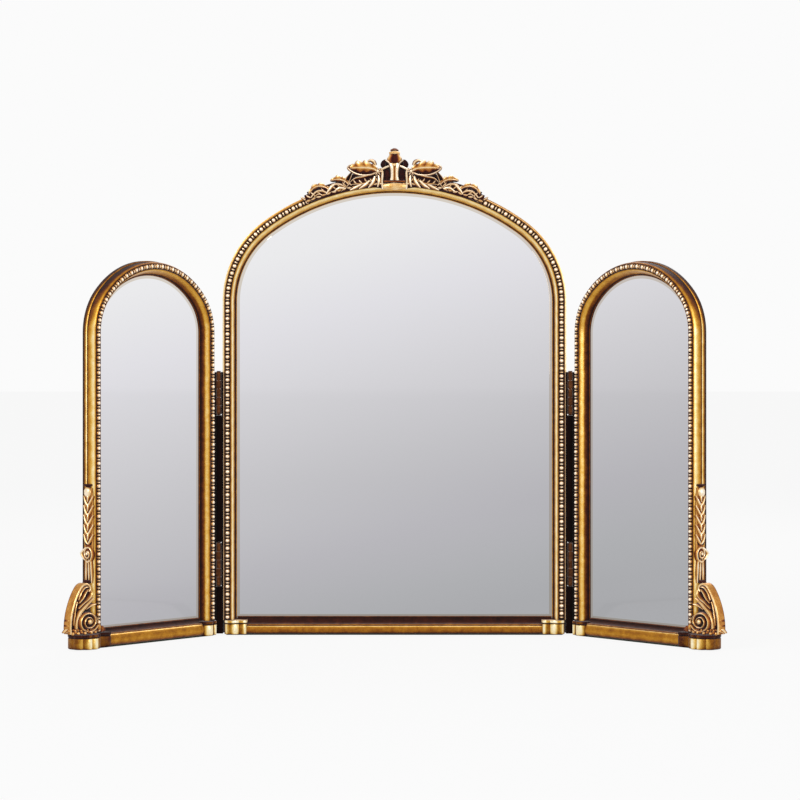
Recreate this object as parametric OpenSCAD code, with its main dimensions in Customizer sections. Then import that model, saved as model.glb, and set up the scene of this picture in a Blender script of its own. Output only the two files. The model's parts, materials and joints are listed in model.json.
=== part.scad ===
// Trifold vanity mirror: an arched centre panel with a carved crest, and two
// lower arched wings that fold forward on edge-mounted butt hinges.
// Each panel is a moulded frame on a base rail, holding a mirror plate and a backboard.
// Axes: X across the centre panel, Y towards its back, Z up. The origin is the middle
// of the centre panel's foot, on the table.

/* [Centre panel] */
// Width of the centre panel over its moulding
centre_width = 466; // [430:1:520]
// Height at which the centre panel's arch springs
centre_spring = 450; // [400:1:500]
// Rise of the centre panel's arch above its springing
centre_rise = 167; // [160:1:200]
// Radius of the centre panel's haunches
centre_haunch = 135; // [110:1:145]

/* [Wings] */
// Width of one wing over its moulding
wing_width = 227; // [205:1:232]
// Height at which a wing's arch springs
wing_spring = 407; // [370:1:430]
// Rise of a wing's arch above its springing
wing_rise = 95; // [90:1:112]
// Radius of a wing's haunches
wing_haunch = 80; // [60:1:85]
// How far the wings are folded forward in this pose, in degrees
fold_angle = 50; // [0:1:105]

/* [Moulding] */
// Thickness of the backboard
board_t = 3; // [2:0.1:5]
// Thickness of the mirror plate
glass_t = 3; // [2:0.1:4]
// Width of the moulding, from its outer edge to the sight edge
face_w = 19.5; // [18.5:0.1:24]
// Height of the moulding's front above the backboard's back
front_n = 21.2; // [19:0.1:25]
// Depth of the flat fillet along the back edge
fillet_d = 3.5; // [2:0.1:5]
// How far the side wall steps in behind the fillet
wall_in = 1.6; // [1:0.1:2.5]
// Distance from the outer edge to the middle of the bead row
bead_in = 7.5; // [7:0.1:8.5]
// Radius of the bead row
bead_r = 2.9; // [2:0.1:3.1]
// How far the moulding's lip reaches over the mirror plate
lip_w = 3.3; // [2:0.1:5]
// Gap round the mirror plate in its rabbet
glass_gap = 0.3; // [0.1:0.1:1]

/* [Base] */
// Thickness of the felt under each panel
felt_t = 1.2; // [0.8:0.1:3]
// Height of the corner blocks' tops
block_h = 20; // [16:0.5:24]
// Height of the sight edge above the table
sill_h = 24.3; // [22:0.1:30]
// Height of the half-round along the base rail
torus_h = 10.4; // [8:0.1:12]
// Length of a corner block along the rail
block_len = 34; // [28:1:50]
// Radius of a corner block's large lobe
lobe_r = 10.5; // [8:0.1:12]
// Radius of the scalloped drum under each wing's outer corner
drum_r = 22; // [18:0.5:26]
// Distance from the wing's outer edge out to the drum's centre
drum_out = 15; // [12:0.5:20]

/* [Hinges] */
// Gap between the flat panels, from edge to edge
panel_gap = 8.8; // [8.4:0.1:12]
// Length of one hinge
hinge_len = 57; // [40:1:76]
// Height of the lower hinge's bottom end
hinge_low = 67; // [50:1:120]
// Height of the upper hinge's top end
hinge_top = 355; // [300:1:380]
// Outer radius of the knuckles
knuckle_r = 3.5; // [3:0.1:3.9]
// Radius of the hinge pin
pin_r = 1.5; // [1.2:0.05:2]
// Thickness of a hinge leaf
leaf_t = 1.6; // [1.2:0.1:2]
// Running clearance round the pin
pin_gap = 0.05; // [0.02:0.01:0.1]
// End clearance between two knuckles
knuckle_gap = 0.2; // [0.1:0.05:0.5]
// Width of the flat part of a leaf
leaf_w = 8.4; // [7.5:0.1:9.5]
// Clearance between a hinge strip's nose and the wing that turns round it
nose_gap = 0.4; // [0.3:0.05:0.8]

/* [Screws] */
// Radius of the screws' shanks
screw_r = 1.2; // [1:0.05:1.5]
// Radius of the countersunk hinge screws' heads
csk_r = 2.3; // [2:0.05:2.8]
// Radius of the backboard screws' round heads
pan_r = 2.6; // [2:0.05:3.5]
// Length of the hinge screws
hinge_screw_len = 10; // [8:0.5:12]
// Length of the backboard screws' shanks
back_screw_len = 9; // [7:0.5:12]
// Clearance round each screw in its hole
screw_gap = 0.05; // [0.02:0.01:0.1]

/* [Carving] */
// Half of the crest's length along the arch, in degrees about the crown's centre
crest_half = 24; // [20:0.5:28]
// Height of the crest's finial above the arch
crest_h = 41; // [34:0.5:60]
// How far the crest stands in front of the moulding
crest_t = 7; // [4:0.5:10]
// Gap between the crest and the moulding that it covers
crest_gap = 0.3; // [0.1:0.1:0.6]
// Radius of the large volute on each wing's foot bracket
volute_r = 15; // [11:0.5:17]
// Height of the foot bracket's leaf tip above the table
bracket_h = 84; // [72:1:110]
// Height of the small scroll on each wing's outer stile
scroll_z = 124; // [114:1:180]
// Length of the husk drop above the small scroll
drop_len = 85; // [60:1:140]

/* [Hidden] */
$fn = 64;

gilt = "goldenrod";
umber = "#3a2215";
bronze = "#6b4428";

// Depths are called n and run from a panel's back plane (n = 0) to its front.
foot_n = 14;                          // depth of the origin within the centre panel
glass_n = board_t + glass_t;          // front of the mirror plate
wall_n = board_t + fillet_d;          // where the side wall starts
bed_n = front_n - 1.7;                // bottom of the bead channel
axis_n = front_n;                     // depth of the hinge axis
axis_out = panel_gap / 2;             // distance from a panel's edge to the hinge axis
crest_n = bed_n + 1.8 + bead_r + crest_gap; // back of the carving over the bead row
glass_in = face_w - lip_w;            // inset of the mirror plate's edge
rabbet_in = glass_in - glass_gap;
shoulder_w = 2.6;
shoulder_d = 7;
channel_w = 7;
screw_in = 9;                         // inset of the backboard screws
side_n0 = wall_n + 0.4;               // back edge of the flat part of the side wall
side_n1 = front_n - shoulder_d - 0.2; // front edge of that flat part
pin_head_h = 1.4;                     // height of a hinge pin's button
screw_head_h = 1.2;                   // height of a backboard screw's round head

CENTRE = [centre_width / 2, centre_spring, centre_rise, centre_haunch];
WING = [wing_width / 2, wing_spring, wing_rise, wing_haunch];

// The arch is three-centred: two haunches and a flatter crown, tangent where they meet.
// p is [half width, spring height, rise, haunch radius]. The crown's radius is rounded to
// 0.001 and its centre follows from the tangency, so that the two sweeps meet exactly.
function crown_r(p) = round(1000 * ((p[0] - p[3]) * (p[0] - p[3]) + p[2] * p[2] - p[3] * p[3])
    / (2 * (p[2] - p[3]))) / 1000;
function crown_z(p) = p[1] - sqrt(
    (crown_r(p) - p[3]) * (crown_r(p) - p[3]) - (p[0] - p[3]) * (p[0] - p[3]));
function crown_half(p) = atan2(p[0] - p[3], p[1] - crown_z(p));

// ---------------------------------------------------------------- mouldings

// Section points rounded to 0.01.
function tidy(section) = [for (q = section) [round(100 * q[0]) / 100, round(100 * q[1]) / 100]];

// Lifts its children by h, as a whole number and then the rest.
module lift(h) {
    translate([0, 0, floor(h)])
        translate([0, 0, h - floor(h)])
            children();
}

// Section of the frame moulding as [inset from the outer edge, depth n].
function moulding_section() = tidy(concat(
    [[0, board_t], [0, wall_n], [wall_in, wall_n + 0.3]],
    [for (a = [0:15:90]) [
        wall_in + shoulder_w * (1 - cos(a)),
        front_n - shoulder_d * (1 - sin(a))
    ]],
    let (out = bead_in - channel_w / 2 + 0.3, in = bead_in + channel_w / 2)
    [[max(out, wall_in + shoulder_w + 0.1), front_n - 0.6], [out + 0.6, bed_n], [in - 0.4, bed_n],
     [in, front_n - 0.4]],
    let (top_in = bead_in + channel_w / 2 + 0.6, low_in = face_w - 1.9, low_n = glass_n + 3.4)
    [for (s = [0:0.1:1]) [
        top_in + (low_in - top_in) * s,
        front_n - (front_n - low_n) * (1 - cos(180 * s)) / 2
    ]],
    [[face_w - 1.5, glass_n + 2.1], [face_w - 0.7, glass_n + 2.1], [face_w, glass_n + 1.4],
     [face_w, glass_n], [rabbet_in, glass_n], [rabbet_in, board_t]]
));

// Section of the bead row: a half-round on a flat base that lies in its channel.
function bead_section() = tidy(concat(
    [[bead_in + bead_r - 0.4, bed_n], [bead_in - bead_r + 0.4, bed_n]],
    [for (a = [180:-15:0]) [bead_in + bead_r * cos(a), bed_n + 1.8 + bead_r * sin(a)]]
));

// The wedge in which the crown of panel p lies, drawn in the plane of the panel.
module crown_wedge(p) {
    spread = 2 * p[0];
    polygon([
        [0, crown_z(p)],
        [spread * tan(crown_half(p)), crown_z(p) + spread],
        [-spread * tan(crown_half(p)), crown_z(p) + spread]
    ]);
}

module crown_sector(p) {
    rotate([90, 0, 0])
        translate([0, 0, -1])
            linear_extrude(2 * front_n)
                crown_wedge(p);
}

// A section carried up both stiles from z0 and round the arch of panel p.
module arch_sweep(section, p, z0) {
    for (side = [0, 1])
        mirror([side, 0, 0])
            translate([0, 0, z0])
                linear_extrude(p[1] - z0)
                    polygon([for (q = section) [p[0] - q[0], -q[1]]]);
    difference() {
        for (side = [0, 1])
            mirror([side, 0, 0])
                translate([p[0] - p[3], 0, p[1]])
                    rotate([90, 0, 0])
                        rotate_extrude(angle = 90)
                            polygon([for (q = section) [p[3] - q[0], q[1]]]);
        crown_sector(p);
    }
    intersection() {
        lift(crown_z(p))
            rotate([90, 0, 0])
                rotate_extrude(angle = 180)
                    polygon([for (q = section) [crown_r(p) - q[0], q[1]]]);
        crown_sector(p);
    }
}

// The flat outline of panel p, drawn in by inset, standing on z0.
module arch_outline(p, inset, z0) {
    translate([-p[0] + inset, z0])
        square([2 * (p[0] - inset), p[1] - z0]);
    for (side = [-1, 1])
        translate([side * (p[0] - p[3]), p[1]])
            circle(p[3] - inset);
    intersection() {
        translate([0, crown_z(p)])
            circle(crown_r(p) - inset, $fn = 180);
        crown_wedge(p);
    }
}

// A plate with the panel's outline, from depth n0 to n1.
module arch_plate(p, inset, z0, n0, n1) {
    translate([0, -n0, 0])
        rotate([90, 0, 0])
            linear_extrude(n1 - n0)
                arch_outline(p, inset, z0);
}

// ---------------------------------------------------------------- screws

// Places of the backboard screws of panel p, as [x, z].
function back_screw_spots(p) = concat(
    [for (side = [-1, 1], k = [0.14, 0.42, 0.7, 0.98]) [side * (p[0] - screw_in), p[1] * k]],
    [for (side = [-1, 1]) [
        side * (p[0] - p[3] + (p[3] - screw_in) * cos(45)),
        p[1] + (p[3] - screw_in) * sin(45)
    ]],
    [[0, p[1] + p[2] - screw_in]],
    [for (side = [-1, 1]) [side * p[0] / 3, felt_t + torus_h / 2 + 1]]
);

module back_screws(p) {
    color(bronze)
    for (spot = back_screw_spots(p))
        translate([spot[0], 0, spot[1]])
            rotate([90, 0, 0]) {
                cylinder(h = back_screw_len, r = screw_r);
                translate([0, 0, -0.4 * screw_head_h])
                    cylinder(h = 0.4 * screw_head_h, r = pan_r);
                translate([0, 0, -screw_head_h])
                    cylinder(h = 0.6 * screw_head_h, r1 = 0.7 * pan_r, r2 = pan_r);
            }
}

module back_screw_holes(p) {
    for (spot = back_screw_spots(p))
        translate([spot[0], 1, spot[1]])
            rotate([90, 0, 0])
                cylinder(h = 1 + back_screw_len + 0.3, r = screw_r + screw_gap);
}

hinge_zs = [hinge_low, hinge_top - hinge_len];
leaf_n0 = axis_n - 4.6 - leaf_w;      // back edge of the leaves
leaf_face = axis_out - leaf_t;        // from the axis to a leaf's inner face
function hinge_screw_spots() =
    [for (z = hinge_zs, k = [0.16, 0.5, 0.84])
        [leaf_n0 + leaf_w * (k == 0.5 ? 0.38 : 0.6), z + hinge_len * k]];

// Hinge screws driven into a panel whose edge is at x = 0 and whose body lies towards +x.
module hinge_screws() {
    color(bronze)
    for (spot = hinge_screw_spots())
        translate([-leaf_t, -spot[0], spot[1]])
            rotate([0, 90, 0]) {
                cylinder(h = csk_r - screw_r, r1 = csk_r, r2 = screw_r);
                cylinder(h = hinge_screw_len, r = screw_r);
            }
}

module hinge_screw_holes() {
    for (spot = hinge_screw_spots())
        translate([-leaf_t, -spot[0], spot[1]])
            rotate([0, 90, 0]) {
                cylinder(h = csk_r - screw_r, r1 = csk_r + screw_gap, r2 = screw_r + screw_gap);
                cylinder(h = hinge_screw_len + 0.3, r = screw_r + screw_gap);
            }
}

// ---------------------------------------------------------------- panel pieces

// hinge_sides lists the sides on which hinge screws enter: -1 left, 1 right.
module panel_frame(p, hinge_sides) {
    color(gilt)
    difference() {
        arch_sweep(moulding_section(), p, block_h);
        back_screw_holes(p);
        for (side = hinge_sides)
            mirror([side > 0 ? 1 : 0, 0, 0])
                translate([-p[0], 0, 0])
                    hinge_screw_holes();
    }
}

module panel_bead_row(p) {
    color("wheat")
    arch_sweep(bead_section(), p, block_h);
}

module panel_mirror(p) {
    color("lightsteelblue")
    arch_plate(p, glass_in, sill_h - lip_w, board_t, glass_n);
}

module panel_backboard(p) {
    color(umber)
    difference() {
        arch_plate(p, 0, felt_t, 0, board_t);
        back_screw_holes(p);
    }
}

// Section of the base rail as [depth n, height z]: a half-round, a fillet and a cove.
function rail_section(z0) = tidy(concat(
    [[board_t, z0]],
    [for (a = [-90:15:90]) [
        front_n - torus_h / 2 + 2.4 + torus_h / 2 * cos(a),
        felt_t + torus_h / 2 * (1 + sin(a))
    ]],
    let (z = felt_t + torus_h)
    [[front_n - 0.6, z + 0.5], [front_n - 0.6, z + 2.4], [front_n - 1.4, z + 2.6]],
    let (z = felt_t + torus_h + 2.6, run = front_n - 1.4 - (glass_n + 3.2))
    [for (a = [0:15:90]) [
        front_n - 1.4 - run * sin(a),
        z + (sill_h - 0.9 - z) * (1 - cos(a))
    ]],
    [[glass_n + 1.6, sill_h], [glass_n, sill_h],
     [glass_n, sill_h - lip_w - glass_gap], [board_t, sill_h - lip_w - glass_gap]]
));

module rail_run(x0, x1) {
    translate([x0, 0, 0])
        rotate([90, 0, 90])
            linear_extrude(x1 - x0)
                polygon([for (q = rail_section(felt_t)) [-q[0], q[1]]]);
}

// The rail runs between the corner blocks, and above them up to the stiles.
module panel_base_rail(p, left_stop, right_stop) {
    reach = p[0] - bead_in - channel_w / 2;
    color("peru")
    difference() {
        rail_run(-reach, reach);
        translate([0, 0, -1])
            linear_extrude(sill_h + 2)
                for (side = [0, 1])
                    mirror([side, 0, 0])
                        polygon([for (q = moulding_section()) [p[0] - q[0], -q[1]]]);
        translate([-reach - 1, -2 * front_n, 0])
            cube([reach + 1 - p[0] + left_stop, 2 * front_n, block_h]);
        translate([p[0] - right_stop, -2 * front_n, 0])
            cube([reach + 1 - p[0] + right_stop, 2 * front_n, block_h]);
        back_screw_holes(p);
    }
}

module panel_felt(p, left_end, right_end) {
    color("darkolivegreen")
    translate([-p[0] + left_end, -front_n, 0])
        cube([2 * p[0] - left_end - right_end, front_n - 1, felt_t]);
}

// A block seen from above: two lobes in front of a straight back. grow swells the plan.
module block_plan(grow) {
    small_r = 0.6 * lobe_r;
    lobe_x = lobe_r + 3.5;
    translate([lobe_x, -front_n + 0.7])
        circle(lobe_r + grow);
    translate([block_len - small_r - 0.2, -front_n - 0.8])
        circle(small_r + grow);
    translate([3.5, -front_n + 0.7])
        square([block_len - 3.5, front_n - 0.7 - board_t]);
}

// Face, quirk and cap of a block with the plan given as children: $grow swells the plan.
module block_tiers() {
    face_h = 0.76 * block_h - felt_t;
    quirk_h = 0.07 * block_h;
    cap_z = felt_t + face_h + quirk_h;
    translate([0, 0, felt_t])
        linear_extrude(face_h)
            children(0);
    translate([0, 0, felt_t + face_h])
        linear_extrude(quirk_h)
            children(1);
    translate([0, 0, cap_z])
        linear_extrude(block_h - cap_z)
            children(2);
}

// Corner block of a panel whose edge is at x = 0 and whose body lies towards +x.
module corner_block() {
    color(gilt)
    difference() {
        block_tiers() {
            block_plan(0);
            block_plan(-0.6);
            block_plan(0.5);
        }
        translate([block_len, -2 * front_n - lobe_r, 0])
            cube([lobe_r, 2 * front_n + lobe_r, block_h + 1]);
    }
}

// ---------------------------------------------------------------- wing's outer foot

foot_in = 28;                          // how far the foot block reaches along the rail
drum_lobes = [-46, -10, 26, 62];       // directions of the drum's scallops, in degrees

// The foot block seen from above, for a wing whose outer edge is at x = 0 and whose body
// lies towards +x: a scalloped drum, a small lobe and a straight back.
module foot_plan(grow) {
    scallop_r = 0.38 * drum_r;
    translate([-drum_out, -foot_n - board_t]) {
        circle(drum_r - 2.2 + grow);
        for (a = drum_lobes)
            translate([-(drum_r - scallop_r) * sin(a), -(drum_r - scallop_r) * cos(a)])
                circle(scallop_r + grow);
    }
    translate([foot_in - 7, -front_n])
        circle(6.5 + grow);
    translate([-drum_out, -front_n])
        square([drum_out + foot_in, front_n - board_t]);
}

module foot_block() {
    color(gilt)
    difference() {
        block_tiers() {
            foot_plan(0);
            foot_plan(-0.6);
            foot_plan(0.5);
        }
        translate([foot_in, -2 * front_n, 0])
            cube([drum_r, 2 * front_n, block_h + 1]);
        translate([-2 * drum_r - drum_out, -board_t, 0])
            cube([4 * drum_r + drum_out, drum_r, block_h + 1]);
    }
}

// A spiral band that winds in from radius r over the given turns.
module spiral_band(r, turns, w0, w1) {
    steps = 18 * turns;
    outer = [for (k = [0:steps]) let (a = 20 * k, q = 1 - k / steps)
        (0.16 + 0.84 * q) * r * [cos(a), sin(a)]];
    inner = [for (k = [steps:-1:0]) let (a = 20 * k, q = 1 - k / steps)
        ((0.16 + 0.84 * q) * r - (w1 + (w0 - w1) * q)) * [cos(a), sin(a)]];
    polygon(concat(outer, inner));
}

// The bracket's outline beyond the wing's edge as [distance out, height], leaf tip to foot.
function bracket_outline() =
    let (base = block_h, h = bracket_h - block_h, w = drum_out + drum_r)
    [
        [-wall_in, base], [-wall_in, base + 0.93 * h], [0.12 * w, base + 0.97 * h],
        [0.32 * w, base + h], [0.5 * w, base + 0.95 * h], [0.64 * w, base + 0.84 * h],
        [0.78 * w, base + 0.72 * h], [0.89 * w, base + 0.6 * h], [0.96 * w, base + 0.48 * h],
        [1.0 * w, base + 0.34 * h], [1.03 * w, base + 0.21 * h], [1.07 * w, base + 0.13 * h],
        [1.27 * w, base + 0.05 * h], [1.06 * w, base]
    ];

// Scrolled acanthus bracket on the foot block, against the wing's outer side wall.
module foot_bracket() {
    drum_h = front_n + 2.4 - side_n1;  // the volute's drum stands a little proud
    color(gilt) {
        translate([0, -side_n0, 0])
            rotate([90, 0, 0])
                linear_extrude(side_n1 - side_n0)
                    polygon([for (q = bracket_outline()) [-q[0], q[1]]]);
        translate([-drum_out + 1, -side_n1, block_h + volute_r])
            rotate([90, 0, 0]) {
                cylinder(h = drum_h, r = volute_r - 0.5);
                linear_extrude(drum_h + 2.5)
                    rotate([0, 0, 60])
                        spiral_band(volute_r, 2, 3.2, 1.6);
                cylinder(h = drum_h + 4, r = 0.2 * volute_r);
            }
    }
}

// Husks, a knob and a small scroll on the wing's outer side wall.
module husk_drop() {
    mid_n = (side_n0 + side_n1) / 2 + 0.3;
    half_w = (side_n1 - side_n0) / 2 - 0.1;
    scroll_r = 8.4;
    husks = 5;
    strip_z = bracket_h - 3;
    reed_r = 1.15;
    step = (drop_len - 12) / husks;
    color(gilt)
    translate([wall_in, -mid_n, 0])
        rotate([0, -90, 0]) {
            // backing fillet from the bracket's tip up to the knob
            translate([strip_z, -1.5, 0])
                cube([scroll_z + drop_len - 4 - strip_z, 3, wall_in + 0.8]);
            // reeded stem below the scroll
            for (k = [-1:1])
                translate([bracket_h + 1, 2 * k * reed_r, wall_in + 0.5])
                    rotate([0, 90, 0])
                        cylinder(h = scroll_z - bracket_h - scroll_r, r = reed_r);
            // scroll
            translate([scroll_z, 0, 0]) {
                cylinder(h = wall_in + 0.2, r = half_w);
                translate([0, 0, wall_in + 0.2]) {
                    cylinder(h = 1.6, r = scroll_r - 0.4);
                    linear_extrude(3)
                        rotate([0, 0, 200])
                            spiral_band(scroll_r, 2, 2, 1.1);
                    cylinder(h = 4.4, r = 0.22 * scroll_r);
                }
            }
            // husks
            for (k = [0:husks - 1])
                translate([scroll_z + scroll_r + 1 + k * step, 0, 0])
                    linear_extrude(wall_in + 2.2 - 0.2 * k)
                        polygon([
                            [0, 0], [0.55 * step, half_w + 0.3], [step, half_w - 0.5],
                            [0.72 * step, 0], [step, 0.5 - half_w], [0.55 * step, -half_w - 0.3]
                        ]);
            // knob
            translate([scroll_z + drop_len - 2, 0, 0]) {
                cylinder(h = wall_in + 1, r = half_w);
                translate([0, 0, wall_in + 0.9])
                    sphere(r = wall_in + 0.8);
            }
        }
}

// ---------------------------------------------------------------- crest

// A pointed leaf from the origin along +x, with scalloped edges and a midrib.
module leaf(len, wid, thick) {
    lobes = 4;
    linear_extrude(thick)
        polygon([for (side = [1, -1], k = [0:12]) let (s = side > 0 ? k / 12 : 1 - k / 12)
            [len * s, side * (0.3 + wid / 2 * sin(180 * s))]]);
    for (k = [1:lobes], side = [-1, 1])
        let (s = k / (lobes + 0.8), w = wid * (1 - (2 * s - 1) * (2 * s - 1)) / 2)
        translate([len * s, side * w * 0.86, 0])
            cylinder(h = thick - 1, r = len / lobes / 2.3);
    translate([0, -0.8, 0])
        cube([len * 0.92, 1.6, thick + 1]);
}

// Moves its children to a place on the centre panel's arch: along is degrees from the
// crown's top towards +x, out is the height above the outline. They stand in the XZ plane.
module on_crown(along, out) {
    translate([0, -crest_n, crown_z(CENTRE)])
        rotate([0, along, 0])
            translate([0, 0, crown_r(CENTRE) + out])
                rotate([90, 0, 0])
                    children();
}

// A band over the crown between two angles, from one height above the outline to another.
module crown_band(a0, a1, out0, out1, n0, n1) {
    translate([0, 0, crown_z(CENTRE)])
        rotate([90, 0, 0])
            rotate([0, 0, 90 - a1])
                rotate_extrude(angle = a1 - a0)
                    translate([crown_r(CENTRE) + out0, n0])
                        square([out1 - out0, n1 - n0]);
}

seat_n = 8;                            // back of the carving above the outline
tablet_half = 2.9;                     // half of the crown's tablet, in degrees

// Leaves as [degrees along, height out, tilt, length, width], from the crown outwards.
function spray_leaves() = [
    [tablet_half + 1.1, 1, 76, 19, 7],
    [tablet_half + 1.9, 15.5, 1.5, 34, 19],
    [tablet_half + 8.3, 6.5, -4, 26, 17],
    [0.73 * crest_half, 0, -4, 25, 16]
];

// Scrolls between the leaves as [degrees along, height out, radius].
function spray_scrolls() = [
    [tablet_half + 2.5, 4, 8],
    [tablet_half + 6.9, 3, 6.5],
    [tablet_half + 12.6, 2.5, 5.5]
];

// One side of the crest: leaves and scrolls on a curved backing, with berries at its foot.
module crest_right_spray() {
    berries = 12;
    berry_r = 3.2;
    berry_step = (crest_half - tablet_half - 1) / (berries - 1);
    color(gilt) {
        crown_band(tablet_half, crest_half, -10, 2, crest_n, crest_n + 3);
        crown_band(tablet_half, crest_half - 1, crest_gap, 5, seat_n, crest_n + 1);
        for (k = [0:len(spray_leaves()) - 1]) let (place = spray_leaves()[k])
            on_crown(place[0], place[1])
                rotate([0, 0, place[2]])
                    leaf(place[3], place[4], crest_t - 1 - 0.3 * k);
        for (place = spray_scrolls())
            on_crown(place[0], place[1]) {
                cylinder(h = crest_t - 3, r = place[2] - 0.3);
                linear_extrude(crest_t - 0.6)
                    spiral_band(place[2], 2, 2, 1);
            }
        for (k = [0:berries - 1])
            on_crown(tablet_half + 0.7 + k * berry_step, -7.5)
                translate([0, 0, berry_r + 0.2])
                    sphere(r = berry_r);
    }
}

module crest_left_spray() {
    mirror([1, 0, 0])
        crest_right_spray();
}

// Tulip-shaped crown on a smooth tablet, between two dark leaves, with a finial on top.
module crest_crown() {
    tablet_w = 2 * crown_r(CENTRE) * sin(tablet_half);
    color(gilt) {
        crown_band(-tablet_half, tablet_half, -13, -4, crest_n, crest_n + 4);
        crown_band(-tablet_half, tablet_half, -4.5, 2, crest_n, crest_n + 2.5);
        crown_band(-0.7 * tablet_half, 0.7 * tablet_half, crest_gap, 6, seat_n, crest_n + 2);
        on_crown(0, 0) {
            translate([-tablet_w / 2 + 0.6, -7.5, 0])
                cube([tablet_w - 1.2, 4, crest_t]);
            // tulip with a midrib
            linear_extrude(crest_t - 1)
                polygon([
                    [-7, -4], [-5.5, 0.2 * crest_h], [-6.5, 0.37 * crest_h],
                    [-11, 0.59 * crest_h], [-9.5, 0.74 * crest_h], [-7.4, 0.88 * crest_h],
                    [7.4, 0.88 * crest_h], [9.5, 0.74 * crest_h], [11, 0.59 * crest_h],
                    [6.5, 0.37 * crest_h], [5.5, 0.2 * crest_h], [7, -4]
                ]);
            translate([-1.2, -4, 0])
                cube([2.4, 0.5 * crest_h, crest_t + 0.8]);
            translate([0, 0.62 * crest_h, crest_t - 2])
                sphere(r = 6);
            // dark leaves on either side
            for (side = [0, 1])
                mirror([side, 0, 0])
                    linear_extrude(crest_t - 3)
                        polygon([
                            [5, -6], [tablet_w / 2 - 0.6, -6], [tablet_w / 2, 0.16 * crest_h],
                            [tablet_w / 2 + 2, 0.4 * crest_h], [13.5, 0.54 * crest_h],
                            [9.5, 0.5 * crest_h], [5, 0.3 * crest_h]
                        ]);
            // finial
            translate([0, 0.87 * crest_h, crest_t / 2 - 1])
                rotate([-90, 0, 0])
                    cylinder(h = 0.06 * crest_h, r = 4);
            translate([0, 0.92 * crest_h, crest_t / 2 - 1])
                rotate([-90, 0, 0])
                    cylinder(h = 0.08 * crest_h, r1 = 5.7, r2 = 2);
        }
    }
}

// ---------------------------------------------------------------- hinges

knuckles = 5;
knuckle_h = hinge_len / knuckles;

// Leaves of both hinges on a panel whose edge is at x = 0 and whose body lies towards +x.
// parity 0 takes the outer knuckles, parity 1 the ones between.
module hinge_leaves(parity) {
    color(bronze)
    difference() {
        for (z = hinge_zs)
            translate([0, 0, z]) {
                translate([-leaf_t, -leaf_n0 - leaf_w, 0])
                    cube([leaf_t, leaf_w, hinge_len]);
                for (k = [parity:2:knuckles - 1])
                    translate([0, 0, k * knuckle_h + knuckle_gap / 2]) {
                        translate([-leaf_t, -axis_n, 0])
                            cube([leaf_t, axis_n - leaf_n0 - leaf_w, knuckle_h - knuckle_gap]);
                        translate([-axis_out, -axis_n, 0])
                            cylinder(h = knuckle_h - knuckle_gap, r = knuckle_r);
                    }
            }
        translate([-axis_out, -axis_n, 0])
            cylinder(h = hinge_top + hinge_len, r = pin_r + pin_gap);
        hinge_screw_holes();
    }
}

// Pins with a button at each end, on the axis at x = -axis_out.
module hinge_pins() {
    color(bronze)
    for (z = hinge_zs)
        translate([-axis_out, -axis_n, z]) {
            translate([0, 0, -pin_head_h])
                cylinder(h = hinge_len + 2 * pin_head_h, r = pin_r);
            for (end_z = [-pin_head_h, hinge_len])
                translate([0, 0, end_z])
                    cylinder(h = pin_head_h, r = 0.8 * knuckle_r);
        }
}

// Dark bullnosed strip that closes the gap between two panels: its nose turns round the
// hinge axis, and it is cut back to its root where the hinges sit.
module hinge_strip() {
    nose_r = axis_out - nose_gap;
    web_w = 2.4;
    cut_h = hinge_len + 2 * pin_head_h + 2 * knuckle_gap;
    color(umber)
    difference() {
        translate([0, 0, felt_t + 1])
            linear_extrude(hinge_top - felt_t - 1) {
                translate([-axis_out, -axis_n])
                    circle(nose_r);
                translate([-axis_out, -axis_n - nose_r])
                    square([axis_out + wall_in, nose_r]);
                translate([-axis_out, -axis_n])
                    square([axis_out, nose_r]);
                translate([-web_w, -axis_n])
                    square([web_w, axis_n - side_n0]);
                translate([-web_w, -side_n1])
                    square([web_w + wall_in, side_n1 - side_n0]);
            }
        for (z = hinge_zs)
            translate([-2 * axis_out, -2 * axis_n, z - pin_head_h - knuckle_gap])
                cube([2 * axis_out, 2 * axis_n, cut_h]);
        hinge_screw_holes();
    }
}

// Thin strip that fills a wing's side wall flush with the edge, under the moving leaves.
module hinge_slip() {
    color(umber)
    difference() {
        translate([0, -side_n1, block_h])
            cube([wall_in, side_n1 - side_n0, hinge_top - block_h]);
        hinge_screw_holes();
    }
}

// ---------------------------------------------------------------- placing

// Centre panel pieces are drawn with their back plane at y = 0.
module centre_place() {
    translate([0, foot_n, 0])
        children();
}

// Pieces at the centre panel's left edge, drawn for an edge at x = 0.
module centre_left_edge() {
    centre_place()
        translate([-centre_width / 2, 0, 0])
            children();
}

// The left wing, drawn in its own frame about its middle, folded forward about its hinge.
module left_wing_place() {
    translate([-centre_width / 2 - axis_out, foot_n - axis_n, 0])
        rotate([0, 0, fold_angle])
            translate([-axis_out - wing_width / 2, axis_n, 0])
                children();
}

// Pieces at the wing's hinge edge (drawn for a left edge) and at its outer edge.
module wing_hinge_edge() {
    left_wing_place()
        translate([wing_width / 2, 0, 0])
            mirror([1, 0, 0])
                children();
}

module wing_outer_edge() {
    left_wing_place()
        translate([-wing_width / 2, 0, 0])
            children();
}

module right() {
    mirror([1, 0, 0])
        children();
}

// ---------------------------------------------------------------- sub-parts

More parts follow.
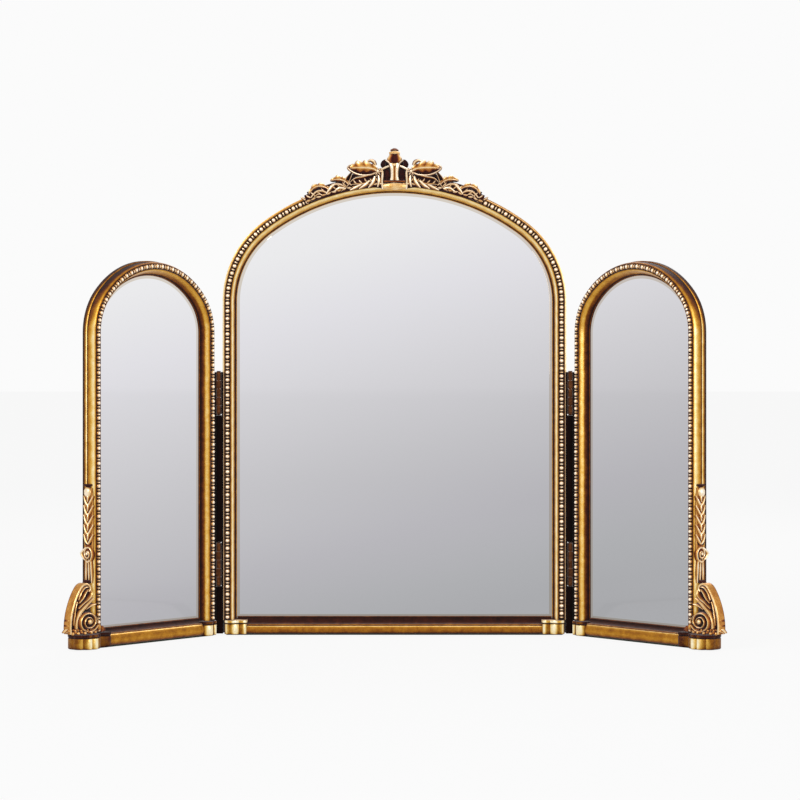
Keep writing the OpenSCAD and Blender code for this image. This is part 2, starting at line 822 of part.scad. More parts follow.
module centre_frame() { centre_place() panel_frame(CENTRE, [-1, 1]); }
module centre_bead_row() { centre_place() panel_bead_row(CENTRE); }
module centre_mirror() { centre_place() panel_mirror(CENTRE); }
module centre_backboard() { centre_place() panel_backboard(CENTRE); }
module centre_base_rail() { centre_place() panel_base_rail(CENTRE, block_len, block_len); }
module centre_left_block() { centre_left_edge() corner_block(); }
module centre_felt() { centre_place() panel_felt(CENTRE, 6, 6); }
module centre_back_screws() { centre_place() back_screws(CENTRE); }
module left_hinge_strip() { centre_left_edge() hinge_strip(); }
module left_hinge_fixed_leaves() { centre_left_edge() hinge_leaves(0); }
module left_hinge_pins() { centre_left_edge() hinge_pins(); }
module left_hinge_fixed_screws() { centre_left_edge() hinge_screws(); }

module left_wing_frame() { left_wing_place() panel_frame(WING, [1]); }
module left_wing_bead_row() { left_wing_place() panel_bead_row(WING); }
module left_wing_mirror() { left_wing_place() panel_mirror(WING); }
module left_wing_backboard() { left_wing_place() panel_backboard(WING); }
module left_wing_base_rail() { left_wing_place() panel_base_rail(WING, foot_in, block_len); }
module left_wing_inner_block() { wing_hinge_edge() corner_block(); }
module left_wing_foot_block() { wing_outer_edge() foot_block(); }
module left_wing_foot_bracket() { wing_outer_edge() foot_bracket(); }
module left_wing_husk_drop() { wing_outer_edge() husk_drop(); }
module left_wing_felt() { left_wing_place() panel_felt(WING, -drum_out, 6); }
module left_wing_back_screws() { left_wing_place() back_screws(WING); }
module left_wing_hinge_slip() { wing_hinge_edge() hinge_slip(); }
module left_hinge_moving_leaves() { wing_hinge_edge() hinge_leaves(1); }
module left_hinge_moving_screws() { wing_hinge_edge() hinge_screws(); }

centre_frame();
centre_bead_row();
centre_mirror();
centre_backboard();
centre_base_rail();
centre_left_block();
right() centre_left_block();  // centre_right_block
centre_place() crest_crown();
centre_place() crest_left_spray();
centre_place() crest_right_spray();
centre_felt();
centre_back_screws();
left_hinge_strip();
left_hinge_fixed_leaves();
left_hinge_pins();
left_hinge_fixed_screws();
right() left_hinge_strip();  // right_hinge_strip
right() left_hinge_fixed_leaves();  // right_hinge_fixed_leaves
right() left_hinge_pins();  // right_hinge_pins
right() left_hinge_fixed_screws();  // right_hinge_fixed_screws
left_wing_frame();
left_wing_bead_row();
left_wing_mirror();
left_wing_backboard();
left_wing_base_rail();
left_wing_inner_block();
left_wing_foot_block();
left_wing_foot_bracket();
left_wing_husk_drop();
left_wing_felt();
left_wing_back_screws();
left_wing_hinge_slip();
left_hinge_moving_leaves();
left_hinge_moving_screws();
right() left_wing_frame();  // right_wing_frame
right() left_wing_bead_row();  // right_wing_bead_row
right() left_wing_mirror();  // right_wing_mirror
right() left_wing_backboard();  // right_wing_backboard
right() left_wing_base_rail();  // right_wing_base_rail
right() left_wing_inner_block();  // right_wing_inner_block
right() left_wing_foot_block();  // right_wing_foot_block
right() left_wing_foot_bracket();  // right_wing_foot_bracket
right() left_wing_husk_drop();  // right_wing_husk_drop
right() left_wing_felt();  // right_wing_felt
right() left_wing_back_screws();  // right_wing_back_screws
right() left_wing_hinge_slip();  // right_wing_hinge_slip
right() left_hinge_moving_leaves();  // right_hinge_moving_leaves
right() left_hinge_moving_screws();  // right_hinge_moving_screws
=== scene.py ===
import json
import math

import bmesh
import bpy
from mathutils import Matrix, Vector

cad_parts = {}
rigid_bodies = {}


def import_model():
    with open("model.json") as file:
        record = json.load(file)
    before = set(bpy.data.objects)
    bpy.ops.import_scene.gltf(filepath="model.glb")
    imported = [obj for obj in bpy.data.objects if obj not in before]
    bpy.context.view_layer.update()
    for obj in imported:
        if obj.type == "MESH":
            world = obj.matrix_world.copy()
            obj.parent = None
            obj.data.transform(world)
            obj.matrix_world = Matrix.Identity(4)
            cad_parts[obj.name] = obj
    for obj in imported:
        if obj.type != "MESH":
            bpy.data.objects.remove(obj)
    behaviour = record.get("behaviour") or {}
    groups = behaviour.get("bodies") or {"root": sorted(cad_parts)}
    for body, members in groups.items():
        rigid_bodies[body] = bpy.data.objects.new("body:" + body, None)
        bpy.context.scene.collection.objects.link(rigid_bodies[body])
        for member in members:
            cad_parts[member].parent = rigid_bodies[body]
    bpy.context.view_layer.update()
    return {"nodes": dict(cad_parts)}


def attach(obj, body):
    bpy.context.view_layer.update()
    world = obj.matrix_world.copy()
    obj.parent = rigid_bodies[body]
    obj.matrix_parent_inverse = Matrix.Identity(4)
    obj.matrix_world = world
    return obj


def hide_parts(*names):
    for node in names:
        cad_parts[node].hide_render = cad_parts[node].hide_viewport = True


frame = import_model()


# ---------------------------------------------------------------- studio
# A pale floor that runs to the horizon, a white surround and three soft lamps, as in a
# catalogue photograph. None of it is part of the mirror.

def linear(code):
    """An sRGB hex value as linear red, green, blue and alpha."""
    parts = [int(code[k:k + 2], 16) / 255 for k in (1, 3, 5)]
    return [c / 12.92 if c <= 0.04045 else ((c + 0.055) / 1.055) ** 2.4 for c in parts] + [1.0]


def add(tree, kind, settings=None, links=None, stops=None):
    """Adds a node with its properties, its inputs as values or sockets, and any ramp stops."""
    made = tree.nodes.new(kind)
    for key, value in (settings or {}).items():
        setattr(made, key, value)
    for key, value in (links or {}).items():
        if isinstance(value, bpy.types.NodeSocket):
            tree.links.new(value, made.inputs[key])
        else:
            made.inputs[key].default_value = value
    if stops:
        ramp = made.color_ramp.elements
        while len(ramp) > 1:
            ramp.remove(ramp[-1])
        for k, (place, tone) in enumerate(stops):
            stop = ramp.new(place) if k else ramp[0]
            stop.position = place
            stop.color = linear(tone) if isinstance(tone, str) else (tone, tone, tone, 1.0)
    return made


def camera_like_rays(tree):
    """1 where the camera, a reflection or a refraction looks, and 0 for light on the object."""
    path = add(tree, "ShaderNodeLightPath")
    two = add(tree, "ShaderNodeMath", {"operation": "ADD", "use_clamp": True},
              {0: path.outputs["Is Camera Ray"], 1: path.outputs["Is Glossy Ray"]})
    return add(tree, "ShaderNodeMath", {"operation": "ADD", "use_clamp": True},
               {0: two.outputs[0], 1: path.outputs["Is Transmission Ray"]}).outputs[0]


world = bpy.data.worlds.new("studio")
bpy.context.scene.world = world
world.use_nodes = True
world.node_tree.nodes.clear()
seen = add(world.node_tree, "ShaderNodeBackground", None, {0: linear("#fbfbfb"), 1: 1.0})
lit = add(world.node_tree, "ShaderNodeBackground", None, {0: linear("#ffffff"), 1: 0.55})
both = add(world.node_tree, "ShaderNodeMixShader", None,
           {0: camera_like_rays(world.node_tree), 1: lit.outputs[0], 2: seen.outputs[0]})
add(world.node_tree, "ShaderNodeOutputWorld", None, {0: both.outputs[0]})

# Background paper, uncoated: the eye sees it almost white, and 7% of what falls on it still
# shows, which is the mirror's soft shadow.
SHOWN_WHITE = 0.93
paper = bpy.data.materials.new("seamless_paper")
paper.use_nodes = True
paper.node_tree.nodes.clear()
matte = add(paper.node_tree, "ShaderNodeBsdfDiffuse", None, {0: linear("#f4f4f4")})
glow = add(paper.node_tree, "ShaderNodeEmission", None, {0: linear("#fbfbfb"), 1: 1.0})
share = add(paper.node_tree, "ShaderNodeMath", {"operation": "MULTIPLY"},
            {0: camera_like_rays(paper.node_tree), 1: SHOWN_WHITE})
blend = add(paper.node_tree, "ShaderNodeMixShader", None,
            {0: share.outputs[0], 1: matte.outputs[0], 2: glow.outputs[0]})
add(paper.node_tree, "ShaderNodeOutputMaterial", None, {0: blend.outputs[0]})
bpy.ops.mesh.primitive_plane_add(size=60, location=(0, 0, 0))
floor = bpy.context.object
floor.name = "floor"
floor.data.materials.append(paper)

for name, place, aim, size, watts in (
    ("key_lamp", (-1.6, -2.4, 2.1), (0, 0, 0.3), 1.4, 42),
    ("fill_lamp", (2.2, -2.0, 1.2), (0, 0, 0.3), 1.8, 22),
    ("rim_lamp", (0.6, 2.2, 2.2), (0, 0, 0.4), 1.6, 22),
):
    lamp = bpy.data.lights.new(name, "AREA")
    lamp.energy, lamp.size = watts, size
    holder = bpy.data.objects.new(name, lamp)
    holder.location = place
    holder.rotation_euler = (Vector(aim) - Vector(place)).to_track_quat("-Z", "Y").to_euler()
    bpy.context.scene.collection.objects.link(holder)

# A 123 mm lens on a 36 mm sensor, 3.69 m in front of the hinges' plane and 369 mm up. Its
# axis meets the 800 pixel picture in this column and row, counted from the upper left.
PICTURE = 800
AXIS_COLUMN = 394.5
AXIS_ROW = 361.6
camera = bpy.data.cameras.new("camera")
camera.lens = 123.0
camera.sensor_width = 36.0
camera.shift_x = (PICTURE / 2 - AXIS_COLUMN) / PICTURE
camera.shift_y = (AXIS_ROW - PICTURE / 2) / PICTURE
viewer = bpy.data.objects.new("camera", camera)
viewer.location = (0, -3.698, 0.369)
viewer.rotation_euler = (math.radians(90), 0, 0)
bpy.context.scene.collection.objects.link(viewer)
bpy.context.scene.camera = viewer
bpy.context.scene.view_settings.view_transform = "Standard"

# ---------------------------------------------------------------- frame mouldings
# Each panel's frame is one moulding of cast resin, carried up both stiles and round the
# arch: a flat fillet at the back, a plain side, a round shoulder, a channel for the beads
# and an S-curve down to the glass. It is glued to the backboard.

MM = 0.001
FOLD = math.radians(50)
# Half widths of the panels, and what both hang on: the hinge axis is this far beyond a
# panel's edge and in front of its back, and the centre's back is this far behind the origin.
CENTRE_HALF = 233
WING_HALF = 113.5
HINGE_OUT = 4.4
HINGE_DEPTH = 21.2
CENTRE_BACK = 14
# The corner blocks reach up to here, and the mouldings stand on them.
BLOCK_TOP = 20

PANELS = {
    "centre": {"half": CENTRE_HALF * MM, "spring": 450 * MM, "rise": 167 * MM, "haunch": 135 * MM,
               "body": "centre_panel", "place": Matrix.Translation((0, CENTRE_BACK * MM, 0))},
    "left_wing": {"half": WING_HALF * MM, "spring": 407 * MM, "rise": 95 * MM, "haunch": 80 * MM,
                  "body": "left_wing",
                  "place": Matrix.Translation((-(CENTRE_HALF + HINGE_OUT) * MM,
                                               (CENTRE_BACK - HINGE_DEPTH) * MM, 0))
                  @ Matrix.Rotation(FOLD, 4, "Z")
                  @ Matrix.Translation((-(WING_HALF + HINGE_OUT) * MM, HINGE_DEPTH * MM, 0))},
}
PANELS["right_wing"] = dict(PANELS["left_wing"], body="right_wing",
                            place=Matrix.Diagonal((-1, 1, 1, 1)) @ PANELS["left_wing"]["place"])


def crown_circle(panel):
    """The arch's middle circle: its radius, its centre's height and half its angle."""
    half, spring, rise, haunch = (panel[k] for k in ("half", "spring", "rise", "haunch"))
    radius = ((half - haunch) ** 2 + rise ** 2 - haunch ** 2) / (2 * (rise - haunch))
    middle = spring + rise - radius
    return radius, middle, math.atan2(half - haunch, spring - middle)


def arch_stations(panel, foot):
    """Points of a panel's outline from its left foot over the arch, as (x, z, nx, nz)."""
    half, spring, haunch = (panel[k] for k in ("half", "spring", "haunch"))
    crown, crown_z, turn = crown_circle(panel)
    rows = [(-half, foot + (spring - foot) * k / 40, -1.0, 0.0) for k in range(40)]
    for k in range(20):
        a = math.pi - (math.pi / 2 - turn) * k / 20
        rows.append((haunch - half + haunch * math.cos(a), spring + haunch * math.sin(a),
                     math.cos(a), math.sin(a)))
    for k in range(25):
        a = math.pi / 2 + turn - turn * k / 24
        rows.append((crown * math.cos(a), crown_z + crown * math.sin(a), math.cos(a), math.sin(a)))
    return rows + [(-x, z, -nx, nz) for x, z, nx, nz in reversed(rows[:-1])]


def tube_faces(rings, count, base=0):
    """The faces of a tube of rings with count points each, and its two caps."""
    faces = []
    for k in range(rings - 1):
        for j in range(count):
            a = base + k * count + j
            b = base + k * count + (j + 1) % count
            faces.append((a, b, b + count, a + count))
    last = base + (rings - 1) * count
    return faces + [tuple(reversed(range(base, base + count))), tuple(range(last, last + count))]


def finish_mesh(name, verts, faces, tone_and_painted_light, place, sharp=35):
    """A closed mesh in its place on the object, with each point's tone stored, painted light and shade
    included.
    """
    mesh = bpy.data.meshes.new(name)
    mesh.from_pydata([Vector(v) for v in verts], [], faces)
    mesh.attributes.new("tone_and_painted_light", "FLOAT", "POINT").data.foreach_set("value", tone_and_painted_light)
    mesh.transform(place)
    work = bmesh.new()
    work.from_mesh(mesh)
    bmesh.ops.recalc_face_normals(work, faces=work.faces)
    work.to_mesh(mesh)
    work.free()
    mesh.shade_smooth()
    mesh.set_sharp_from_angle(angle=math.radians(sharp))
    piece = bpy.data.objects.new(name, mesh)
    bpy.context.scene.collection.objects.link(piece)
    return piece


# The section as (inset from the outer edge, height over the back, tone), in mm. A tone of 0
# is brown in the hollows and 1 pale gilt on the ridges: partly the gilt's patina and partly
# painted shade and painted highlight. A second tone is painted on the arch, where the surface turns.
# First come the fillet at the back and the plain side.
MOULDING = [(0, 3, 0.3, 0.1), (0, 4.6, 0.5, 0.1), (0, 6.3, 0.85, 0.2), (0.3, 6.5, 1.0, 0.6),
            (1.2, 6.7, 0.85, 0.5), (1.6, 6.85, 0.12, -0.05), (1.6, 7.6, 0.24, -0.05),
            (1.6, 9, 0.5, -0.02), (1.6, 12.5, 0.66, 0.0), (1.6, 14.2, 0.78, 0.02)]
# the round shoulder, as (angle, tone, tone on the arch), and the channel
SHOULDER = ((15, 0.88, 0.1), (30, 0.96, 0.3), (45, 0.9, 0.56), (60, 0.6, 0.62), (75, 0.3, 0.4),
            (90, 0.16, 0.2))
for degrees, tone, arch_tone in SHOULDER:
    a = math.radians(degrees)
    MOULDING.append((1.6 + 2.6 * (1 - math.cos(a)), 14.2 + 7 * math.sin(a), tone, arch_tone))
MOULDING += [(4.3, 20.6, 0.12), (4.9, 19.6, 0.05), (7.5, 19.5, 0.02), (10.5, 19.6, 0.05), (11, 20.8, 0.2)]
# the S-curve down to the glass, as (share of its width, tone, tone on the arch)
CURVE = ((0, 0.3, 0.62), (0.1, 0.44, 0.84), (0.2, 0.66, 0.9), (0.3, 0.88, 0.88), (0.4, 0.96, 0.8),
         (0.5, 0.9, 0.74), (0.6, 0.72, 0.7), (0.7, 0.5, 0.68), (0.8, 0.34, 0.62), (0.9, 0.16, 0.5),
         (1, 0.06, 0.2))
for share, tone, arch_tone in CURVE:
    fall = (1 - math.cos(math.pi * share)) / 2
    MOULDING.append((11.6 + 6 * share, 21.2 - 11.8 * fall, tone, arch_tone))
# the lip over the glass, and the rabbet behind it
MOULDING += [(18, 8.1, 0.02), (18.5, 8.15, 0.1), (18.9, 8.1, 0.5), (19.5, 7.5, 0.6), (19.5, 6, 0.2),
             (15.9, 6, 0.1), (15.9, 3, 0.1)]


def sweep(name, panel, section, foot):
    """Carries a closed section round a panel's outline, and caps both feet."""
    stations = arch_stations(panel, foot)
    verts, tone_and_painted_light = [], []
    for x, z, nx, nz in stations:
        for inset, depth, *tones in section:
            verts.append((x - inset * MM * nx, -depth * MM, z - inset * MM * nz))
            tone_scale = 1.0
            if not name.startswith("centre"):
                # painted shade: a wing is darker on its arch and on its inner side, most of all by the glass
                tone_scale = 0.95 - (0.4 if inset > 15 else 0.12) * max(nx, 0) - 0.2 * max(nz, 0)
            tone_and_painted_light.append((tones[0] + (tones[-1] - tones[0]) * max(nz, 0)) * tone_scale)
    return finish_mesh(name, verts, tube_faces(len(stations), len(section)), tone_and_painted_light, panel["place"])


def gilt(name, stops):
    """Cast resin painted gold over dark brown and rubbed with a cloth: the brown stays in the
    hollows and the gold is pale on the ridges. These tones are partly that patina and partly
    painted shade and painted highlight, laid along each form as light would lie. The mesh gives
    each point's tone with its painted light, and stops turn that into colours."""
    made = bpy.data.materials.new(name)
    made.use_nodes = True
    tree = made.node_tree
    tree.nodes.clear()
    spot = add(tree, "ShaderNodeTexCoord").outputs["Object"]
    level = add(tree, "ShaderNodeAttribute", {"attribute_name": "tone_and_painted_light"}).outputs["Fac"]
    # painted shade, partly standing for patina: a surface within 6 mm of a recess is darkened
    hollow = add(tree, "ShaderNodeAmbientOcclusion", {"samples": 6}, {"Distance": 6 * MM}).outputs["AO"]
    shade = add(tree, "ShaderNodeMapRange", None, {0: hollow, 1: 0.25, 2: 0.75, 3: -0.28, 4: 0.0})
    level = add(tree, "ShaderNodeMath", {"operation": "ADD"}, {0: level, 1: shade.outputs[0]}).outputs[0]
    # patches of wear about 9 mm across, and rubbed specks of about 1 mm
    patches = add(tree, "ShaderNodeTexNoise", None, {"Vector": spot, "Scale": 1 / (9 * MM), "Detail": 3.0})
    specks = add(tree, "ShaderNodeTexNoise", None, {"Vector": spot, "Scale": 1 / (1.2 * MM), "Detail": 2.0})
    for noise, reach in ((patches, 0.06), (specks, 0.05)):
        wear = add(tree, "ShaderNodeMapRange", None,
                   {0: noise.outputs[0], 1: 0.3, 2: 0.7, 3: -reach, 4: reach})
        level = add(tree, "ShaderNodeMath", {"operation": "ADD"}, {0: level, 1: wear.outputs[0]}).outputs[0]
    tint = add(tree, "ShaderNodeValToRGB", None, {0: level}, stops)
    metal = add(tree, "ShaderNodeMapRange", None, {0: level, 1: 0.2, 2: 0.7, 3: 0.15, 4: 0.8})
    rough = add(tree, "ShaderNodeMapRange", None, {0: level, 1: 0.1, 2: 0.8, 3: 0.6, 4: 0.3})
    bump = add(tree, "ShaderNodeBump", None,
               {"Strength": 0.25, "Distance": 0.15 * MM, "Height": specks.outputs[0]})
    skin = add(tree, "ShaderNodeBsdfPrincipled", None,
               {"Base Color": tint.outputs[0], "Metallic": metal.outputs[0], "Roughness": rough.outputs[0],
                "Specular IOR Level": 0.12, "Normal": bump.outputs[0]})
    add(tree, "ShaderNodeOutputMaterial", None, {0: skin.outputs[0]})
    return made


# deep yellow gold, painted pale on the ridges as highlight and brown in the hollows as shade
gilt_painted_light = gilt("cast_resin_gilt_painted_light", [
    (0.0, "#1c0905"), (0.18, "#40180a"), (0.36, "#7d4412"), (0.54, "#ba7f22"),
    (0.72, "#dfae4e"), (0.88, "#f4d996"), (1.0, "#fff0d2")])
for key, panel in PANELS.items():
    piece = sweep(key + "_moulding", panel, MOULDING, BLOCK_TOP * MM)
    piece.data.materials.append(gilt_painted_light)
    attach(piece, panel["body"])
    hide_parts(key + "_frame")

# ---------------------------------------------------------------- bead rows
# A row of small beads with a thin reel between each two, lying in the moulding's channel.
# They are cast in strips and gilded paler than the frame; each is painted cream on top as highlight, and
# brown at its foot and between the beads as shade.

# The row's line: its inset from the panel's edge, its depth, and the height of its first
# bead. A pitch is from bead to bead.
BEAD_INSET = 7.5
BEAD_DEPTH = 21.2
FIRST_BEAD = 24
CENTRE_PITCH = 10.3
WING_PITCH = 9.7


def bead_row_tree():
    """Beads and reels by turns along a line, with their tone stored by depth: painted light, paler towards
    the front and brown at the bed as shade.
    """
    tree = bpy.data.node_groups.new("bead_and_reel", "GeometryNodeTree")
    tree.interface.new_socket("Line", in_out="INPUT", socket_type="NodeSocketGeometry")
    for name, value in (("Pitch", CENTRE_PITCH * MM), ("Bead radius", 3.1 * MM), ("Reel radius", 2.5 * MM),
                        ("Reel thickness", 1.5 * MM), ("Bed", 19.4 * MM), ("Ridge", 24.2 * MM)):
        tree.interface.new_socket(name, in_out="INPUT", socket_type="NodeSocketFloat").default_value = value
    tree.interface.new_socket("Finish", in_out="INPUT", socket_type="NodeSocketMaterial")
    tree.interface.new_socket("Row", in_out="OUTPUT", socket_type="NodeSocketGeometry")
    given = add(tree, "NodeGroupInput").outputs
    half = add(tree, "ShaderNodeMath", {"operation": "MULTIPLY"}, {0: given["Pitch"], 1: 0.5})
    curve = add(tree, "GeometryNodeMeshToCurve", None, {"Mesh": given["Line"]})
    spots = add(tree, "GeometryNodeCurveToPoints", {"mode": "LENGTH"},
                {"Curve": curve.outputs[0], "Length": half.outputs[0]})
    odd = add(tree, "ShaderNodeMath", {"operation": "MODULO"},
              {0: add(tree, "GeometryNodeInputIndex").outputs[0], 1: 2.0})
    even = add(tree, "ShaderNodeMath", {"operation": "SUBTRACT"}, {0: 1.0, 1: odd.outputs[0]})
    ball = add(tree, "GeometryNodeMeshUVSphere", None,
               {"Segments": 9, "Rings": 6, "Radius": given["Bead radius"]})
    bead = add(tree, "GeometryNodeTransform", None, {"Geometry": ball.outputs[0], "Scale": (1.0, 1.0, 0.88)})
    reel = add(tree, "GeometryNodeMeshCylinder", None,
               {"Vertices": 12, "Radius": given["Reel radius"], "Depth": given["Reel thickness"]})
    rows = []
    for pick, shape in ((even, bead), (odd, reel)):
        rows.append(add(tree, "GeometryNodeInstanceOnPoints", None,
                        {"Points": spots.outputs[0], "Selection": pick.outputs[0],
                         "Instance": shape.outputs[0], "Rotation": spots.outputs["Rotation"]}))
    join = add(tree, "GeometryNodeJoinGeometry")
    for row in rows:
        tree.links.new(row.outputs[0], join.inputs[0])
    real = add(tree, "GeometryNodeRealizeInstances", None, {0: join.outputs[0]})
    # painted light: the further forward a point, the paler it is painted
    depth = add(tree, "ShaderNodeSeparateXYZ", None, {0: add(tree, "GeometryNodeInputPosition").outputs[0]})
    depth = add(tree, "ShaderNodeMath", {"operation": "MULTIPLY"}, {0: depth.outputs["Y"], 1: -1.0})
    tone_and_painted_light = add(tree, "ShaderNodeMapRange", None,
                 {0: depth.outputs[0], 1: given["Bed"], 2: given["Ridge"], 3: 0.0, 4: 1.1})
    store = add(tree, "GeometryNodeStoreNamedAttribute", {"data_type": "FLOAT", "domain": "POINT"},
                {"Geometry": real.outputs[0], "Name": "tone_and_painted_light", "Value": tone_and_painted_light.outputs[0]})
    dressed = add(tree, "GeometryNodeSetMaterial", None,
                  {"Geometry": store.outputs[0], "Material": given["Finish"]})
    add(tree, "NodeGroupOutput", None, {0: dressed.outputs[0]})
    return tree


def grown(name, line, tree, settings, place):
    """The plain mesh that a geometry tree grows on a line of points, in its place."""
    wire = bpy.data.meshes.new(name)
    wire.from_pydata([Vector(v) for v in line], [(k, k + 1) for k in range(len(line) - 1)], [])
    carrier = bpy.data.objects.new(name, wire)
    bpy.context.scene.collection.objects.link(carrier)
    modifier = carrier.modifiers.new("grow", "NODES")
    modifier.node_group = tree
    for item in tree.interface.items_tree:
        if item.in_out == "INPUT" and item.name in settings:
            modifier[item.identifier] = settings[item.name]
    mesh = bpy.data.meshes.new_from_object(carrier.evaluated_get(bpy.context.evaluated_depsgraph_get()))
    carrier.modifiers.clear()
    carrier.data = mesh
    mesh.transform(place)
    if place.determinant() < 0:
        mesh.flip_normals()
    mesh.shade_smooth()
    mesh.set_sharp_from_angle(angle=math.radians(50))
    return carrier


# painted highlight, almost cream, on top of each bead and painted shade, brown, at its foot, so that every
# bead stands apart
bead_gilt = gilt("cast_resin_pale_gilt", [
    (0.0, "#1a0603"), (0.26, "#45190a"), (0.5, "#7c4618"), (0.7, "#b07c3e"),
    (0.88, "#dcb27c"), (1.0, "#ffedd6")])
bead_tree = bead_row_tree()
for key, panel in PANELS.items():
    line = [(x - BEAD_INSET * MM * nx, -BEAD_DEPTH * MM, z - BEAD_INSET * MM * nz)
            for x, z, nx, nz in arch_stations(panel, FIRST_BEAD * MM)]
    pitch = CENTRE_PITCH if key == "centre" else WING_PITCH
    piece = grown(key + "_beads", line, bead_tree, {"Pitch": pitch * MM, "Finish": bead_gilt},
                  panel["place"])
    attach(piece, panel["body"])
    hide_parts(key + "_bead_row")

# ---------------------------------------------------------------- mirror plates
# Silvered float glass, 3 mm thick, in the moulding's rabbet. Its front edge is ground to a
# wide shallow bevel. A painted reflection of a plain studio, lighter above and to the left, is in its colour.

def silvered_glass():
    """Silver behind clear glass: a cool, nearly perfect reflection, over a painted reflection in
    its colour that is lighter higher up, and warmer and darker on the bevel."""
    made = bpy.data.materials.new("silvered_float_glass_painted_reflection")
    made.use_nodes = True
    tree = made.node_tree
    tree.nodes.clear()
    spot = add(tree, "ShaderNodeTexCoord").outputs["Object"]
    place = add(tree, "ShaderNodeSeparateXYZ", None, {0: spot})
    # painted reflection: the colour grows lighter over 600 mm of height, and 0.27 as fast to the left
    height = add(tree, "ShaderNodeMath", {"operation": "MULTIPLY_ADD"},
                 {0: place.outputs["X"], 1: -0.27, 2: place.outputs["Z"]})
    share = add(tree, "ShaderNodeMath", {"operation": "DIVIDE"}, {0: height.outputs[0], 1: 600 * MM})
    tint = add(tree, "ShaderNodeValToRGB", None, {0: share.outputs[0]}, [
        (0.0, "#aeafb2"), (0.08, "#b2b3b6"), (0.22, "#bbbabf"), (0.4, "#c9c8cc"), (0.58, "#d7d6da"),
        (0.76, "#e4e3e8"), (0.92, "#eeeef0"), (1.0, "#f0f0f2")])
    # painted reflection on the bevel: its colour is warmed and darkened there
    bevel = add(tree, "ShaderNodeAttribute", {"attribute_name": "tone_and_painted_light"}).outputs["Fac"]
    ground = add(tree, "ShaderNodeMix", {"data_type": "RGBA", "blend_type": "MULTIPLY"},
                 {0: bevel, 6: tint.outputs[0], 7: linear("#ddd0bb")})
    # the faint unevenness of float glass, waves of about 60 mm
    wave = add(tree, "ShaderNodeTexNoise", None, {"Vector": spot, "Scale": 1 / (60 * MM)})
    bump = add(tree, "ShaderNodeBump", None,
               {"Strength": 0.05, "Distance": 0.1 * MM, "Height": wave.outputs[0]})
    skin = add(tree, "ShaderNodeBsdfPrincipled", None,
               {"Base Color": ground.outputs[2], "Metallic": 1.0, "Roughness": 0.03,
                "Normal": bump.outputs[0]})
    add(tree, "ShaderNodeOutputMaterial", None, {0: skin.outputs[0]})
    return made


# The plate's outlines from its back to its face: (inset from the panel's edge, height over
# the panel's back, lower edge, how strongly the bevel's painted reflection tints it). The bevel is 6.2 mm
# wide.
PLATE = ((16.6, 3.1, 21.4, 1), (16.4, 3.3, 21.2, 1), (16.4, 5.2, 21.2, 0.7),
         (22.6, 5.9, 26.0, 0.7), (22.8, 6.0, 26.3, 1), (23.5, 6.0, 26.9, 0))
glass = silvered_glass()
for key, panel in PANELS.items():
    verts, tone_and_painted_light = [], []
    for inset, depth, low, tone in PLATE:
        stations = arch_stations(panel, low * MM)
        verts += [(x - inset * MM * nx, -depth * MM, z - inset * MM * nz) for x, z, nx, nz in stations]
        tone_and_painted_light += [tone] * len(stations)
    piece = finish_mesh(key + "_glass", verts, tube_faces(len(PLATE), len(stations)), tone_and_painted_light,
                        panel["place"], sharp=3)
    piece.data.materials.append(glass)
    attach(piece, panel["body"])
    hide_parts(key + "_mirror")

# ---------------------------------------------------------------- base rails
# The same gilded resin in straight lengths under each mirror: a half-round painted bright
# along its upper front as highlight, with a cove over it that rises to the glass, painted dark, partly patina
# and partly shade.

# The rail's ends stop this far inside a panel's edges, within the blocks.
RAIL_END = 20.2


def rail_section(low, high, lip, rise, tones):
    """The section as (depth, height, tone): a half-round from low to high, a lip over it and a
    cove that rises to the glass, with the rabbet behind it."""
    half = (high - low) / 2
    rows = [(3, low, 0.1)]
    for k, tone in enumerate(tones):
        a = math.radians(-90 + 180 * k / (len(tones) - 1))
        rows.append((18.4 + 5.2 * math.cos(a), low + half + half * math.sin(a), tone))
    rows += [(20.5, high + 0.3, 0.2), (20.5, high + lip, 0.5), (19.6, high + lip + 0.4, 0.2)]
    # painted shade: the cove darkens as it rises to the glass
    for k in range(7):
        a = math.radians(15 * k)
        rows.append((19.6 - 10.4 * math.sin(a), high + lip + 0.4 + rise * (1 - math.cos(a)),
                     0.2 - 0.17 * k / 6))
    return rows + [(8.4, 23.7, 0.3), (7.6, 24.3, 0.36), (6.1, 24.3, 0.1), (6.1, 20.8, 0.05), (3, 20.8, 0.05)]


# tones round each half-round from its foot to its top: painted light, palest on its upper front
RAILS = {
    "centre": rail_section(1.3, 12.2, 2.0, 8.9,
                           (0.1, 0.24, 0.34, 0.38, 0.4, 0.41, 0.42, 0.43, 0.48, 0.82, 0.78, 0.3)),
    "wing": rail_section(1.3, 16.4, 1.2, 5.2,
                         (0.14, 0.36, 0.46, 0.44, 0.5, 0.55, 0.5, 0.45, 0.48, 0.6, 0.88, 0.3)),
}
for key, panel in PANELS.items():
    section = RAILS["centre" if key == "centre" else "wing"]
    reach = panel["half"] - RAIL_END * MM
    verts = [(reach * turn, -n * MM, z * MM) for turn in (-1, 1) for n, z, tone in section]
    tone_and_painted_light = [tone for n, z, tone in section] * 2
    piece = finish_mesh(key + "_rail", verts, tube_faces(2, len(section)), tone_and_painted_light, panel["place"])
    piece.data.materials.append(gilt_painted_light)
    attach(piece, panel["body"])
    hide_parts(key + "_base_rail")

# ---------------------------------------------------------------- corner and foot blocks
# Cast blocks stop the rails at the corners. From above each is a row of round lobes in front
# of a straight back, and it has a thin cap over a sunk line.

def wall(middle, way, low, high):
    """How far a ray runs along one axis before it meets the rectangle's side."""
    if abs(way) < 1e-9:
        return math.inf
    return ((high if way > 0 else low) - middle) / way


